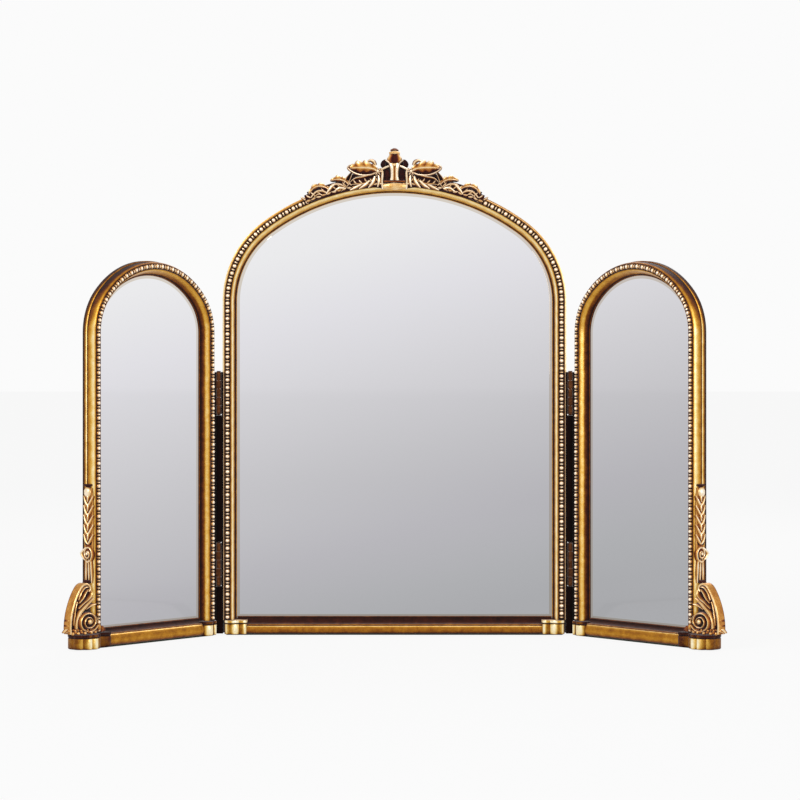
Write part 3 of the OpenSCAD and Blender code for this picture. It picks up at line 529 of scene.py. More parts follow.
def block_plan(shapes, middle, edge, grow, count=150):
    """The outline round circles (x, depth, radius, tone row) and one rectangle, seen from above."""
    x0, x1, n0, n1 = edge
    rows = []
    for k in range(count):
        a = 2 * math.pi * k / count
        dx, dn = math.cos(a), math.sin(a)
        end, back = wall(middle[0], dx, x0, x1), wall(middle[1], dn, n0, n1)
        far, tone = min(end, back), 0.42
        for x, n, r, tones in shapes:
            r += grow
            along = (x - middle[0]) * dx + (n - middle[1]) * dn
            inside = r * r - (x - middle[0]) ** 2 - (n - middle[1]) ** 2 + along * along
            if inside > 0 and along + math.sqrt(inside) > far:
                far = along + math.sqrt(inside)
                side = max(-0.999, min((middle[0] + far * dx - x) / r, 0.999))
                place = (side + 1) / 2 * (len(tones) - 1)
                low = int(place)
                tone = tones[low] + (tones[min(low + 1, len(tones) - 1)] - tones[low]) * (place - low)
        # its back and its end at the rail are cut straight through the lobes
        if dn < 0:
            far = min(far, back)
        if dx > 0:
            far = min(far, end)
        rows.append((middle[0] + far * dx, middle[1] + far * dn, tone))
    return rows


def block(name, shapes, middle, edge, cap_painted_light, place, body, node):
    """A cast block, whose cap is painted as bright as its given cap setting, as painted light."""
    # (height, growth of the outline, share of its tone): body, sunk line and cap; the bottom edge and the
    # sunk line are painted dark as shade
    tiers = ((1.2, -0.9, 0.3), (1.9, -0.2, 0.9), (8, -0.2, 1.0), (14.6, -0.2, 0.95), (15.1, -0.4, 0.4),
             (15.3, -0.8, 0.05), (16.4, -0.8, 0.05),
             (16.6, -0.1, 0.5 * cap_painted_light), (17.1, 0.1, cap_painted_light), (19.3, 0.1, cap_painted_light), (19.9, -0.2, 0.7 * cap_painted_light))
    verts, tone_and_painted_light = [], []
    for z, grow, share in tiers:
        for x, n, tone in block_plan(shapes, middle, edge, grow):
            verts.append((x * MM, -n * MM, z * MM))
            tone_and_painted_light.append(min(tone * share, 1.0))
    faces = tube_faces(len(tiers), len(verts) // len(tiers))
    piece = finish_mesh(name, verts, faces, tone_and_painted_light, place, sharp=50)
    piece.data.materials.append(block_gilt)
    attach(piece, body)
    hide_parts(node)


# olive gold, painted pale as highlight where the lobes stand forward
block_gilt = gilt("cast_resin_block_gilt", [
    (0.0, "#1c0705"), (0.22, "#451b0d"), (0.38, "#85500f"), (0.5, "#b08330"),
    (0.66, "#dbae56"), (0.82, "#f4dc9e"), (1.0, "#fff4d2")])
# Lobes as (x from the panel's edge, depth, radius, tones from left to right). The tones are painted light: a
# highlight down each lobe and shade between.
CORNER = [(14, 20.5, 10.5, (0.3, 0.95, 0.6, 0.42, 0.44, 0.8, 0.98, 0.95, 0.9, 0.3)),
          (27.5, 22, 6.3, (0.2, 0.42, 0.4, 0.42, 0.46, 0.6, 0.95, 0.98, 0.4))]
WING_CORNER = [(7.8, 21.8, 5.2, (0.7, 0.95, 0.98, 0.9, 0.3, 0.2)),
               (18.6, 21.0, 8.8, (0.3, 0.46, 0.95, 0.98, 0.95, 0.9, 0.3))]
# The foot is a drum whose front carries four lobes at these angles, and a lobe at the rail.
DRUM_X = -15
DRUM_DEPTH = 17
LOBE = 8.36
LOBE_RING = 22 - LOBE
FOOT = [(DRUM_X, DRUM_DEPTH, 19.8, (0.4,)),
        (21, 21.2, 6.5, (0.1, 0.12, 0.18, 0.3, 0.34, 0.2, 0.12, 0.22, 0.1))]
for degrees, tones in (
    (62, (0.36, 0.5, 0.62, 0.96, 1.0, 0.7, 0.36)),
    (26, (0.3, 0.52, 0.76, 1.0, 0.98, 0.62, 0.36)),
    (-10, (0.26, 0.52, 0.76, 1.0, 0.98, 0.66, 0.3)),
    (-46, (0.2, 0.4, 0.5, 0.36, 0.2)),
):
    a = math.radians(degrees)
    FOOT.append((DRUM_X - LOBE_RING * math.sin(a), DRUM_DEPTH + LOBE_RING * math.cos(a), LOBE, tones))
for name, key, x, turn, shapes, middle, edge, cap_painted_light in (
    ("centre_left_corner", "centre", -CENTRE_HALF, 1, CORNER, (17, 13), (3.5, 34, 3, 20.5), 1.3),
    ("centre_right_corner", "centre", CENTRE_HALF, -1, CORNER, (17, 13), (3.5, 34, 3, 20.5), 1.3),
    ("left_wing_inner_corner", "left_wing", WING_HALF, -1, WING_CORNER, (12, 13), (2.8, 27, 3, 20.5), 0.34),
    ("right_wing_inner_corner", "right_wing", WING_HALF, -1, WING_CORNER, (12, 13), (2.8, 27, 3, 20.5), 0.34),
    ("left_wing_foot", "left_wing", -WING_HALF, 1, FOOT, (-6, 12), (-15, 28, 3, 21.2), 0.3),
    ("right_wing_foot", "right_wing", -WING_HALF, 1, FOOT, (-6, 12), (-15, 28, 3, 21.2), 0.3),
):
    place = PANELS[key]["place"] @ Matrix.Translation((x * MM, 0, 0)) @ Matrix.Diagonal((turn, 1, 1, 1))
    block(name, shapes, middle, edge, cap_painted_light, place, PANELS[key]["body"],
          name.replace("corner", "block").replace("wing_foot", "wing_foot_block"))

# ---------------------------------------------------------------- crest
# Cast resin carving glued on the arch: a tulip-shaped crown with a finial, and on each side
# a spray of acanthus leaves, curling stems and a chain of berries. Its depths are brown, partly patina and
# partly painted shade, and its ridges are painted pale as highlight.

def smooth(rows, steps):
    """Points along a smooth line through the given rows of numbers."""
    out = []
    for k in range(len(rows) - 1):
        p0, p1, p2, p3 = rows[max(k - 1, 0)], rows[k], rows[k + 1], rows[min(k + 2, len(rows) - 1)]
        for step in range(steps):
            t = step / steps
            out.append([0.5 * (2 * q1 + (q2 - q0) * t + (2 * q0 - 5 * q1 + 4 * q2 - q3) * t * t
                               + (3 * q1 - q0 - 3 * q2 + q3) * t ** 3)
                        for q0, q1, q2, q3 in zip(p0, p1, p2, p3)])
    return out + [list(rows[-1])]


# Sections across a carved form as (place across, share of its height lost, tone). In these and the tables
# below the tones are painted light: pale on the ridges as highlight, dark at the edges and in hollows as
# shade.
LEAF = [(-1, 0.8, 0.8), (-0.8, 0.34, 1.0), (-0.5, 0.4, 0.62), (-0.16, 0.22, 0.6), (0, 0, 1.0),
        (0.16, 0.22, 0.6), (0.5, 0.4, 0.66), (0.8, 0.34, 1.0), (1, 0.8, 0.8)]
STEM = [(-1, 0.95, 0.1), (-0.75, 0.5, 0.4), (-0.35, 0.12, 0.66), (0.1, 0, 1.0), (0.4, 0.12, 0.72),
        (0.75, 0.5, 0.4), (1, 0.95, 0.1)]
PLAIN = [(-1, 0.5, 0.6), (-0.85, 0.15, 0.8), (-0.4, 0.03, 0.74), (0, 0, 0.74), (0.4, 0.03, 0.74),
         (0.85, 0.15, 0.8), (1, 0.5, 0.6)]
# DARK is painted shade: a near-black form set where the carving's depths are in shade
DARK = [(-1, 0.4, 0.12), (-0.7, 0.1, 0.1), (0, 0, 0.06), (0.7, 0.1, 0.1), (1, 0.4, 0.12)]


def carve(bits, spine, back, shape, steps=6, lobes=0, notch=0.4):
    """A form along a line of (u, v, half width, height) in mm, or with two half widths, right
    and left of its way, with its flat back at the given height. Lobes cut its edges and lean
    to its tip."""
    rows = smooth([row if len(row) == 5 else (*row[:3], *row[2:]) for row in spine], steps)
    base = len(bits["verts"])
    for k, (u, v, left, right, top) in enumerate(rows):
        ahead, behind = rows[min(k + 1, len(rows) - 1)], rows[max(k - 1, 0)]
        du, dv = ahead[0] - behind[0], ahead[1] - behind[1]
        run = math.hypot(du, dv) or 1.0
        du, dv = du / run, dv / run
        cut = (2 * ((k / (len(rows) - 1) * lobes) % 1.0) - 1) ** 2 if lobes else 0.0
        for across, loss, tone in shape:
            reach = max(left if across < 0 else right, 0.15) * (1 - notch * cut * abs(across))
            lean = 0.5 * across * across * reach if lobes else 0.0
            bits["verts"].append((u - dv * across * reach + du * lean, v + du * across * reach + dv * lean,
                                  top - (top - back) * min(loss + 0.3 * cut * abs(across), 0.97)))
            # painted shade: the notches between lobes are darker
            bits["tones"].append(max(tone - 0.55 * cut * abs(across), 0.0))
        # the flat back is painted dark as shade
        for u1, v1, _ in (bits["verts"][-1], bits["verts"][-len(shape)]):
            bits["verts"].append((u1, v1, back))
            bits["tones"].append(0.1)
    bits["faces"] += tube_faces(len(rows), len(shape) + 2, base)


def berry(bits, place, size, tone=1.0, dark=0.3, around=9, rings=5):
    """A small round form of a few faces: its middle and its half sizes, as (u, v, height). It is painted pale
    at its front as highlight and dark at its back as shade.
    """
    base = len(bits["verts"])
    for k in range(1, rings):
        a = math.pi * k / rings
        for j in range(around):
            b = 2 * math.pi * j / around
            bits["verts"].append((place[0] + size[0] * math.sin(a) * math.cos(b),
                                  place[1] + size[1] * math.sin(a) * math.sin(b),
                                  place[2] + size[2] * math.cos(a)))
            bits["tones"].append(dark + (tone - dark) * (0.5 + 0.5 * math.cos(a)))
    for k in range(rings - 2):
        for j in range(around):
            a, b = base + k * around + j, base + k * around + (j + 1) % around
            bits["faces"].append((a, a + around, b + around, b))
    for top, row, turn in ((1, 0, 1), (-1, rings - 2, -1)):
        tip = len(bits["verts"])
        bits["verts"].append((place[0], place[1], place[2] + top * size[2]))
        bits["tones"].append(tone if top > 0 else dark)
        for j in range(around):
            a, b = base + row * around + j, base + row * around + (j + 1) % around
            bits["faces"].append((a, b, tip)[::turn])


def volute(bits, centre, radii, turns, start, width, back, top, shape=STEM):
    """A ridge that winds in from the outer radii to its eye."""
    steps = int(turns * 20)
    line = []
    for k in range(steps + 1):
        share = k / steps
        a = math.radians(start + 360 * turns * share)
        r = 1 - 0.84 * share
        line.append((centre[0] + radii[0] * r * math.cos(a), centre[1] + radii[1] * r * math.sin(a),
                     width * (1 - 0.5 * share), top + 1.2 * share))
    carve(bits, line, back, shape, steps=1)
    berry(bits, (centre[0], centre[1], top), (0.2 * radii[0], 0.2 * radii[1], 2.4))


def carving(name, bits, lay, place, body, node, tone_scale=1.0):
    """Makes the collected forms one piece: lay turns (u, v, height) into the panel's x, y, z."""
    verts = [tuple(c * MM for c in lay(*v)) for v in bits["verts"]]
    piece = finish_mesh(name, verts, bits["faces"], [tone * tone_scale for tone in bits["tones"]], place, sharp=60)
    piece.data.materials.append(carved_gilt)
    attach(piece, body)
    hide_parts(node)


def on_front(u, v, h):
    """u goes to the right, v up, and h is the height over the panel's back."""
    return u, -h, v


def on_arch(degrees, inset):
    """A point of the centre panel's crown, at that angle from its top, as (x, z) in mm."""
    a = math.radians(degrees)
    radius, middle, _ = crown_circle(PANELS["centre"])
    reach = radius / MM - inset
    return reach * math.sin(a), middle / MM + reach * math.cos(a)


def arch_band(a0, a1, inset, half, top, count=14):
    """A line that follows the crown, at that inset, from one angle to the other."""
    return [(*on_arch(a0 + (a1 - a0) * k / count, inset), half, top) for k in range(count + 1)]


# reddish brown in the cuts, partly patina and partly painted shade, and a warm cream on the ribs as painted
# highlight, so that each leaf is drawn in lines
carved_gilt = gilt("cast_resin_carved_gilt", [
    (0.0, "#190505"), (0.18, "#40120c"), (0.34, "#733019"), (0.5, "#a4662b"), (0.66, "#d49d50"),
    (0.82, "#f0d09b"), (1.0, "#fff1dc")])
# Heights of the carving's flat backs: on the arch behind the beads, and in front of them.
SEAT = 8.0
BACK = 24.4

spray = {"verts": [], "faces": [], "tones": []}
BROAD = [(-1, 0.95, 0.1), (-0.7, 0.4, 0.36), (-0.3, 0.06, 0.74), (0.05, 0, 1.0), (0.45, 0.06, 0.92),
         (0.75, 0.4, 0.5), (1, 0.95, 0.1)]
# backing over the bead channel, the seat behind it on the arch, and the web between the leaves, all painted
# dark as shade
carve(spray, arch_band(2.9, 23.8, 4, 5.6, 27.0), BACK, DARK, steps=1)
carve(spray, arch_band(2.9, 22.8, -2.6, 2.3, 26.0), SEAT, DARK, steps=1)
carve(spray, [(16.6, 612, 9, 13, 26), (30, 613, 9, 14, 26.4), (44, 611, 9, 14, 26.4),
              (55, 608, 7, 13, 26.2), (64, 605, 6, 7, 26), (75, 602, 6, 9, 26.2), (84, 598, 5, 8, 26),
              (92, 595, 4, 8, 26), (103, 592, 4, 9, 26), (112, 588, 3, 6, 25.8), (117, 586, 1, 2, 25.4)],
      BACK - 6, DARK, steps=3)
# chain of short leaves at its foot that lie along the arch, with husks that lean out between
for k in range(15):
    tilt = (0.9, -0.5, 0.3)[k % 3]
    line = [(*on_arch(2.9 + 1.41 * k + 0.62 * j, 7.3 + tilt * (1 - j)), w, h)
            for j, (w, h) in enumerate(((0.9, 28), (2.3 - 0.3 * (k % 2), 29.8), (0.7, 28.2)))]
    carve(spray, line, BACK, [(-1, 0.9, 0.12), (-0.7, 0.4, 0.5), (-0.2, 0, 0.98 - 0.12 * (k % 3)),
                              (0.3, 0.16, 0.72), (0.7, 0.5, 0.4), (1, 0.95, 0.1)], steps=4)
    x, z = on_arch(4.2 + 1.41 * k, 4.6)
    x1, z1 = on_arch(4.9 + 1.41 * k, -1.5 + (k % 2))
    carve(spray, [(x, z, 1.2, 28), ((x + x1) / 2 + 0.6, (z + z1) / 2, 1.7, 29.4), (x1, z1, 0.6, 28)],
          BACK, STEM, steps=3)
# great leaf, with a hollow under its rib painted dark as shade, its rolled lower rim and its curled upper tip
GREAT = [(-1, 0.85, 0.06), (-0.8, 0.6, 0.2), (-0.5, 0.4, 0.44), (-0.15, 0.16, 0.6), (0, 0, 0.9),
         (0.16, 0.16, 0.66), (0.45, 0.3, 0.6), (0.78, 0.3, 1.0), (1, 0.8, 0.75)]
carve(spray, [(21, 625.6, 3, 29), (30, 629, 8.6, 9, 31.4), (40, 630.2, 11.4, 11, 32),
              (51, 630.2, 8.4, 8.2, 31.2), (61.5, 629.4, 1, 1.6, 29)],
      BACK - 3, GREAT, lobes=4, notch=0.3)
carve(spray, [(22, 623.6, 2, 27), (34, 622.4, 3.4, 28), (46, 622.6, 3.6, 28), (58, 627, 2.4, 27)],
      BACK - 3, DARK)
carve(spray, [(21.6, 625, 1.4, 28.6), (31, 621.2, 1.7, 31), (43, 620, 1.8, 31.6), (54, 623.2, 1.6, 31),
              (62.6, 629.2, 1.4, 30), (61, 633.4, 1.1, 29), (56, 634.8, 0.7, 28)], BACK - 3, STEM)
carve(spray, [(25.6, 634, 2.2, 29), (28, 638.6, 2.8, 30.4), (33, 640.4, 2.0, 30), (37, 638, 1.0, 29)],
      BACK - 3, STEM)
# knot of petals beside the crown
for a in (20, 75, 130, 185, 240, 300):
    c, d = math.cos(math.radians(a)), math.sin(math.radians(a))
    carve(spray, [(22.4 + 1.2 * c, 625.6 + 1.2 * d, 0.8, 30.2), (22.4 + 3.4 * c, 625.6 + 3.4 * d, 1.5, 31),
                  (22.4 + 5.8 * c, 625.6 + 5.8 * d, 0.5, 29.6)], BACK, STEM, steps=3)
berry(spray, (22.4, 625.6, 29.6), (1.8, 1.8, 2.4))
# a hollow leaf under the great one, painted dark in its hollow as shade and pale on its rims as highlight,
# and a smaller one on its far side
HOLLOW = [(-1, 0.85, 0.2), (-0.88, 0.15, 0.9), (-0.74, 0.2, 0.6), (-0.5, 0.75, 0.08), (0, 0.85, 0.06),
          (0.45, 0.75, 0.08), (0.68, 0.2, 0.6), (0.86, 0.05, 1.0), (1, 0.85, 0.3)]
carve(spray, [(23, 624, 2, 30), (31, 618, 5, 4.4, 31), (42, 614, 6.4, 5.4, 31.6), (52, 612.6, 5.4, 4.8, 31.4),
              (60, 608.6, 1.6, 29.6)], BACK, HOLLOW)
carve(spray, [(57.6, 624, 1.4, 29.6), (62.4, 616, 3.4, 31), (66, 607, 3.4, 3.6, 30.8), (73, 599.4, 1.4, 29)],
      BACK, HOLLOW)
# broad fingers that fan out from the knot towards the arch
for finger in (
    [(21.4, 620, 1.6, 30), (20.6, 612.4, 3.2, 31), (22.6, 604.6, 1.0, 29)],
    [(26.4, 618.6, 1.8, 30.8), (28.6, 611, 3.6, 31.8), (35, 603.4, 1.0, 29.4)],
    [(33.6, 613, 1.6, 30.8), (39, 607.4, 3.2, 31.8), (47.6, 602, 1.0, 29.4)],
    [(45, 607.8, 1.4, 30.4), (51.6, 604, 2.8, 31), (60, 600, 1.0, 29.2)],
    [(66, 602, 1.4, 29.4), (74, 602.8, 2.8, 30.8), (82, 597.6, 1.0, 29)],
    [(80, 609, 1.4, 29.6), (86, 603, 3.0, 30.8), (92, 594.8, 1.4, 29)],
):
    carve(spray, finger, BACK, BROAD)
# second and third leaf, smaller and lower down the arch
carve(spray, [(61, 607, 2, 2.4, 29), (67, 612, 4.4, 5.6, 30.6), (76, 614.6, 4.6, 6, 31),
              (86.5, 613, 1, 1.2, 28.6)], BACK - 3, GREAT, lobes=4)
carve(spray, [(66, 604, 1.6, 28.8), (74, 607.8, 2.2, 30.4), (83, 607.4, 2.0, 30), (88.4, 602.6, 1.2, 29)],
      BACK, STEM)
carve(spray, [(87, 599, 2, 2.4, 28.8), (93, 603.6, 3.6, 4.6, 30.4), (102, 605.4, 4.2, 5.2, 30.8),
              (110, 602, 4, 4.4, 30), (115.5, 594, 1, 1.2, 28.4)], BACK - 3, GREAT, lobes=4)
carve(spray, [(90, 595.6, 1.5, 28.8), (98, 599, 2.2, 30.4), (106, 597.4, 2.2, 30), (113, 589.6, 1.4, 29)],
      BACK, STEM)
carve(spray, [(97, 593.4, 1.0, 28.4), (103, 594.6, 1.3, 29.6), (109, 590, 0.9, 28.6)], BACK, STEM)
centre = PANELS["centre"]["place"]
for side, turn in (("right", 1), ("left", -1)):
    carving("crest_%s_leaves" % side, spray, on_front, centre @ Matrix.Diagonal((turn, 1, 1, 1)),
            "centre_panel", "crest_%s_spray" % side)

crown = {"verts": [], "faces": [], "tones": []}
carve(crown, arch_band(-2.9, 2.9, -1.6, 3.4, 26.0, 4), SEAT, DARK, steps=1)
# smooth tablet with a lens-shaped lower edge
carve(crown, [(-16, 605.8, 2.6, 2.2, 27.4), (-8, 605.6, 4.6, 3.8, 30), (0, 605.6, 5.6, 4.4, 30.6),
              (8, 605.6, 4.6, 3.8, 30), (16, 605.8, 2.6, 2.2, 27.4)], BACK, PLAIN)
# backing and hollow panels in thin frames, painted dark as shade, and the reddish band under them
carve(crown, [(0, 604, 17, 22), (0, 622, 17, 22), (0, 631, 15, 22), (0, 638, 12, 21.6), (0, 646, 7, 21)],
      15, DARK)
RIM = [(-1, 0.9, 0.2), (-0.7, 0.3, 0.8), (0, 0, 1.0), (0.7, 0.3, 0.8), (1, 0.9, 0.2)]
for turn in (1, -1):
    carve(crown, [(turn * 9.4, 611.5, 4.8, 25.6), (turn * 10.2, 621, 5.0, 25.6),
                  (turn * 10.8, 629, 3.6, 25.4)], 17, DARK)
    carve(crown, [(turn * 15.8, 601.5, 1.5, 28.4), (turn * 17, 612, 1.8, 29), (turn * 16.4, 623, 1.8, 29.2),
                  (turn * 17.8, 629.4, 1.3, 28.6)], BACK, RIM)
    carve(crown, [(turn * 7.4, 632.8, 1.2, 29.4), (turn * 12.4, 630.8, 1.6, 29.8),
                  (turn * 19, 627.4, 1.4, 29)], BACK, RIM)
    carve(crown, [(turn * 13.6, 629.6, 1.6, 27), (turn * 15.4, 634.6, 3.6, 28.4),
                  (turn * 13.4, 639.4, 2.4, 27.4), (turn * 10.6, 640.4, 0.8, 26.4)], 19, DARK)
    carve(crown, [(turn * 4.6, 633.8, 0.8, 29), (turn * 8.6, 638.4, 1.5, 30),
                  (turn * 12.4, 640.6, 0.8, 28.6)], 19, STEM)
carve(crown, [(-14.6, 612, 1.8, 27.6), (0, 611.6, 2.2, 28.4), (14.6, 612, 1.8, 27.6)], BACK,
      [(-1, 0.8, 0.1), (-0.5, 0.2, 0.3), (0, 0, 0.46), (0.5, 0.2, 0.3), (1, 0.8, 0.1)])
# tulip: a pale stem that narrows and opens, with a rib in its middle
# painted shade: the middle of the tulip is darker
TULIP = [(-1, 0.7, 0.5), (-0.8, 0.1, 0.98), (-0.55, 0.04, 1.0), (-0.3, 0.12, 0.84), (-0.1, 0.24, 0.5),
         (0, 0.26, 0.44), (0.1, 0.24, 0.5), (0.3, 0.12, 0.84), (0.55, 0.04, 1.0), (0.8, 0.1, 0.98),
         (1, 0.7, 0.5)]
carve(crown, [(0, 613.6, 7.0, 29), (0, 619, 5.6, 29.8), (0, 626, 5.4, 30.2), (0, 632, 6.8, 30),
              (0, 636.5, 8.4, 28.8)], 17, TULIP)
# cup with a heart painted dark as shade, side petals, collar and finial
CUP = [(-1, 0.75, 0.55), (-0.8, 0.3, 0.8), (-0.55, 0.16, 0.4), (-0.3, 0.2, 0.14), (0, 0.26, 0.2),
       (0.3, 0.2, 0.14), (0.55, 0.16, 0.4), (0.8, 0.3, 0.8), (1, 0.75, 0.55)]
carve(crown, [(0, 632.5, 4.6, 28.6), (0, 637.6, 8.6, 29.6), (0, 642.6, 10.2, 29.4), (0, 647, 7.6, 28.6),
              (0, 650.5, 6.2, 27.6)], 15, CUP)
berry(crown, (0, 634.2, 29.6), (2.4, 2.0, 2.0), tone=0.9)
carve(crown, [(-7.2, 650.4, 1.5, 25.5), (0, 651.2, 2.3, 29), (7.2, 650.4, 1.5, 25.5)], 15, PLAIN)
carve(crown, [(-5.4, 654.2, 1.0, 24), (0, 655.4, 2.2, 26.4), (5.4, 654.2, 1.0, 24)], 16,
      [(-1, 0.6, 0.2), (-0.4, 0.1, 0.55), (0, 0, 0.5), (0.5, 0.2, 0.3), (1, 0.7, 0.12)])
carving("crest_centre", crown, on_front, centre, "centre_panel", "crest_crown")

# ---------------------------------------------------------------- foot brackets
# A carved bracket of cast resin stands on each wing's outer foot, against the side of the
# frame: a tall leaf that curls over at its top, and a large volute with lumpy edging below.

# A wing's outer edge, as the distance from the panel's middle line.
OUTER_EDGE = -WING_HALF


def beyond_edge(u, v, h):
    """u is the distance beyond the wing's outer edge, v the height and h the depth."""
    return OUTER_EDGE - u, -h, v


def strap(bits, line, half, n0, n1):
    """A bent strap that stands on edge: its line in (u, v), and its width from depth n0 to n1."""
    rows = smooth(line, 6)
    base = len(bits["verts"])
    # (place across, depth, tone): an inner side painted dark as shade, a rounded face painted bright as
    # highlight, and the outer side
    section = ((1, n0, 0.3), (1, n1 - 2, 0.3), (0.6, n1 - 0.5, 0.92), (-0.2, n1, 0.92),
               (-0.8, n1 - 0.7, 0.92), (-1, n1 - 2.2, 0.66), (-1, n0 + 1.2, 0.66), (-1, n0, 0.3))
    for k, (u, v) in enumerate(rows):
        ahead, behind = rows[min(k + 1, len(rows) - 1)], rows[max(k - 1, 0)]
        du, dv = ahead[0] - behind[0], ahead[1] - behind[1]
        run = math.hypot(du, dv) or 1.0
        du, dv = du / run, dv / run
        for across, depth, tone in section:
            bits["verts"].append((u - dv * across * half, v + du * across * half, depth))
            bits["tones"].append(tone)
    bits["faces"] += tube_faces(len(rows), len(section), base)


foot = {"verts": [], "faces": [], "tones": []}
# core behind the carving, painted dark as shade
carve(foot, [(18, 20.4, 22, 19, 17), (17, 34, 21, 18, 18), (14, 48, 18, 15, 18), (11, 60, 14, 12, 17),
             (8, 72, 9, 16), (7, 80, 5, 6, 15)], 6.9, DARK)
# the leaf's smooth back, from the foot up to its curl
strap(foot, [(37.6, 21), (38.4, 30), (37, 42), (34.4, 52), (30, 63), (24.4, 73), (18.4, 80.4), (12, 83.2),
             (6.4, 81.6), (4, 77.4), (6.4, 74)], 1.5, 6.9, 19.6)
for k in range(3):
    v = 25 + 6.4 * k
    carve(foot, [(38.4 - 0.5 * k, v, 1.6, 19), (40.4 - 0.5 * k, v + 0.4, 1.2, 17)], 7.2, PLAIN, steps=2)
carve(foot, [(6.6, 81.4, 1.4, 17), (5.2, 85.4, 1.6, 18), (2, 86.6, 1.4, 17.4), (0.2, 84.2, 0.8, 16)], 7.2,
      DARK)
# its serrated front edge: fingers that run down and outwards from the curl
for finger in (
    [(9, 79.6, 1.6, 20.6), (16, 78.4, 2.0, 21.6), (22.4, 71.6, 1.8, 21.6), (25.6, 64, 1.0, 20.6)],
    [(8.6, 76.4, 1.4, 20.4), (13.2, 73, 1.9, 22), (18.6, 65.6, 1.9, 22), (24.6, 60, 1.0, 21)],
    [(2.6, 76, 1.4, 20), (3.6, 69.4, 2.0, 22), (9, 64, 2.0, 22.4), (17, 59.4, 1.7, 22), (25.4, 53, 1.0, 21)],
    [(27.6, 62, 1.2, 20), (30.4, 54, 1.8, 20.6), (31.8, 46, 1.0, 20)],
    [(30.6, 50, 1.2, 20), (32.8, 41, 1.8, 20.6), (33.6, 32, 1.0, 20)],
):
    carve(foot, finger, 12, STEM)
# pale band that sweeps from the stile down round the volute
carve(foot, [(-1, 64, 1.8, 21.5), (7, 60.6, 2.6, 23), (16, 54.4, 2.8, 24), (24.6, 46.6, 2.6, 24),
             (29.4, 37, 2.4, 23.6), (29.6, 28, 2.0, 22.6), (25.4, 21.6, 1.4, 22)], 12,
      [(-1, 0.95, 0.2), (-0.75, 0.45, 0.6), (-0.35, 0.1, 1.0), (0, 0.12, 0.72), (0.35, 0.1, 1.0),
       (0.75, 0.45, 0.6), (1, 0.95, 0.2)])
carve(foot, [(-4, 57, 1.6, 21.6), (5, 55.4, 2.8, 22.6), (14, 51.4, 1.6, 22)], 12, STEM)
# volute on its drum, about this eye; the drum is painted dark as shade
EYE = (13.4, 36)
carve(foot, [(EYE[0] + shift, EYE[1], half, top) for shift, half, top in (
    (-15.6, 4, 24.2), (-10, 11, 24.6), (0, 13.4, 24.8), (10, 11, 24.6), (15.6, 4, 24.2))], 12, DARK)
volute(foot, EYE, (17.4, 14.2), 2.3, 205, 1.9, 20, 27.4)
# lumpy edging on the foot block, and the leaf tip at its outer end
for k in range(11):
    a = math.radians(-78 + 15.6 * k)
    berry(foot, (15 + 20 * math.sin(a), 21.4 + 1.3 * (k % 2), 16.6 + 9.2 * math.cos(a)),
          (2.9 - 0.8 * (k % 2), 2.3, 2.4), tone=0.9 - 0.25 * (k % 2), dark=0.16)
    berry(foot, (15 + 19 * math.sin(a), 25.8 - 1.3 * (k % 2), 15.4 + 8.8 * math.cos(a)),
          (2.0, 1.9 + 0.7 * (k % 2), 2.1), tone=0.62 + 0.2 * (k % 2), dark=0.08)
carve(foot, [(34, 25.6, 3, 18.4), (40, 24.6, 2.8, 18), (45, 22.8, 0.4, 15.6)], 9, LEAF)
for place, size, tone in (
    ((-6.5, 27.4, 22.6), (3.4, 4.8, 3.4), 0.7),
    ((-11.6, 25, 23), (3.6, 4.4, 3.2), 0.55),
    ((-16.2, 23.4, 21.6), (2.6, 3.0, 2.6), 0.45),
):
    berry(foot, place, size, tone=tone, dark=0.12)
carve(foot, [(-2.4, 42, 1.0, 22.4), (-6.6, 33.6, 1.3, 24), (-8, 25.4, 1.0, 23.6), (-14, 21.4, 0.7, 23)],
      19, STEM)

# ---------------------------------------------------------------- husk drops
# A drop of V-shaped husks hangs on each wing's outer side from a knob, and ends in a small
# scroll on a reeded stem. It is cast with the same finish and glued to the frame's side.

def on_side(u, v, h):
    """u is the depth over the wing's back, v the height and h the distance beyond the edge."""
    return OUTER_EDGE - h, -u, v


drop = {"verts": [], "faces": [], "tones": []}
# Its middle line on the frame's side, and its flat back, let into that side.
MID = 11.4
SUNK = -1.5
HUSK = [(-1, 0.95, 0.16), (-0.7, 0.45, 0.5), (-0.3, 0.06, 0.78), (0.15, 0, 1.0), (0.5, 0.2, 0.74),
        (1, 0.95, 0.16)]
carve(drop, [(MID, 120, 7, 0.3), (MID, 130, 8, 0.4), (MID, 180, 8, 0.4), (MID, 206, 6, 0.3)], SUNK,
      [(-1, 0.2, 0.66), (-0.5, 0.1, 0.5), (0, 0, 0.4), (0.5, 0.1, 0.5), (1, 0.2, 0.66)])
REED = [(-1, 0.9, 0.2), (-0.6, 0.3, 0.7), (0, 0, 0.96), (0.6, 0.3, 0.7), (1, 0.9, 0.2)]
for shift in (-4.6, 0.4, 5.2):
    carve(drop, [(MID + shift, 84, 1.2, 0.5), (MID + shift, 98, 2.2, 1.6),
                 (MID + shift * 0.8, 114, 1.8, 1.8)], SUNK, REED)
volute(drop, (MID, 121.6), (9.0, 11.0), 1.8, 250, 1.9, SUNK, 3.0, shape=HUSK)
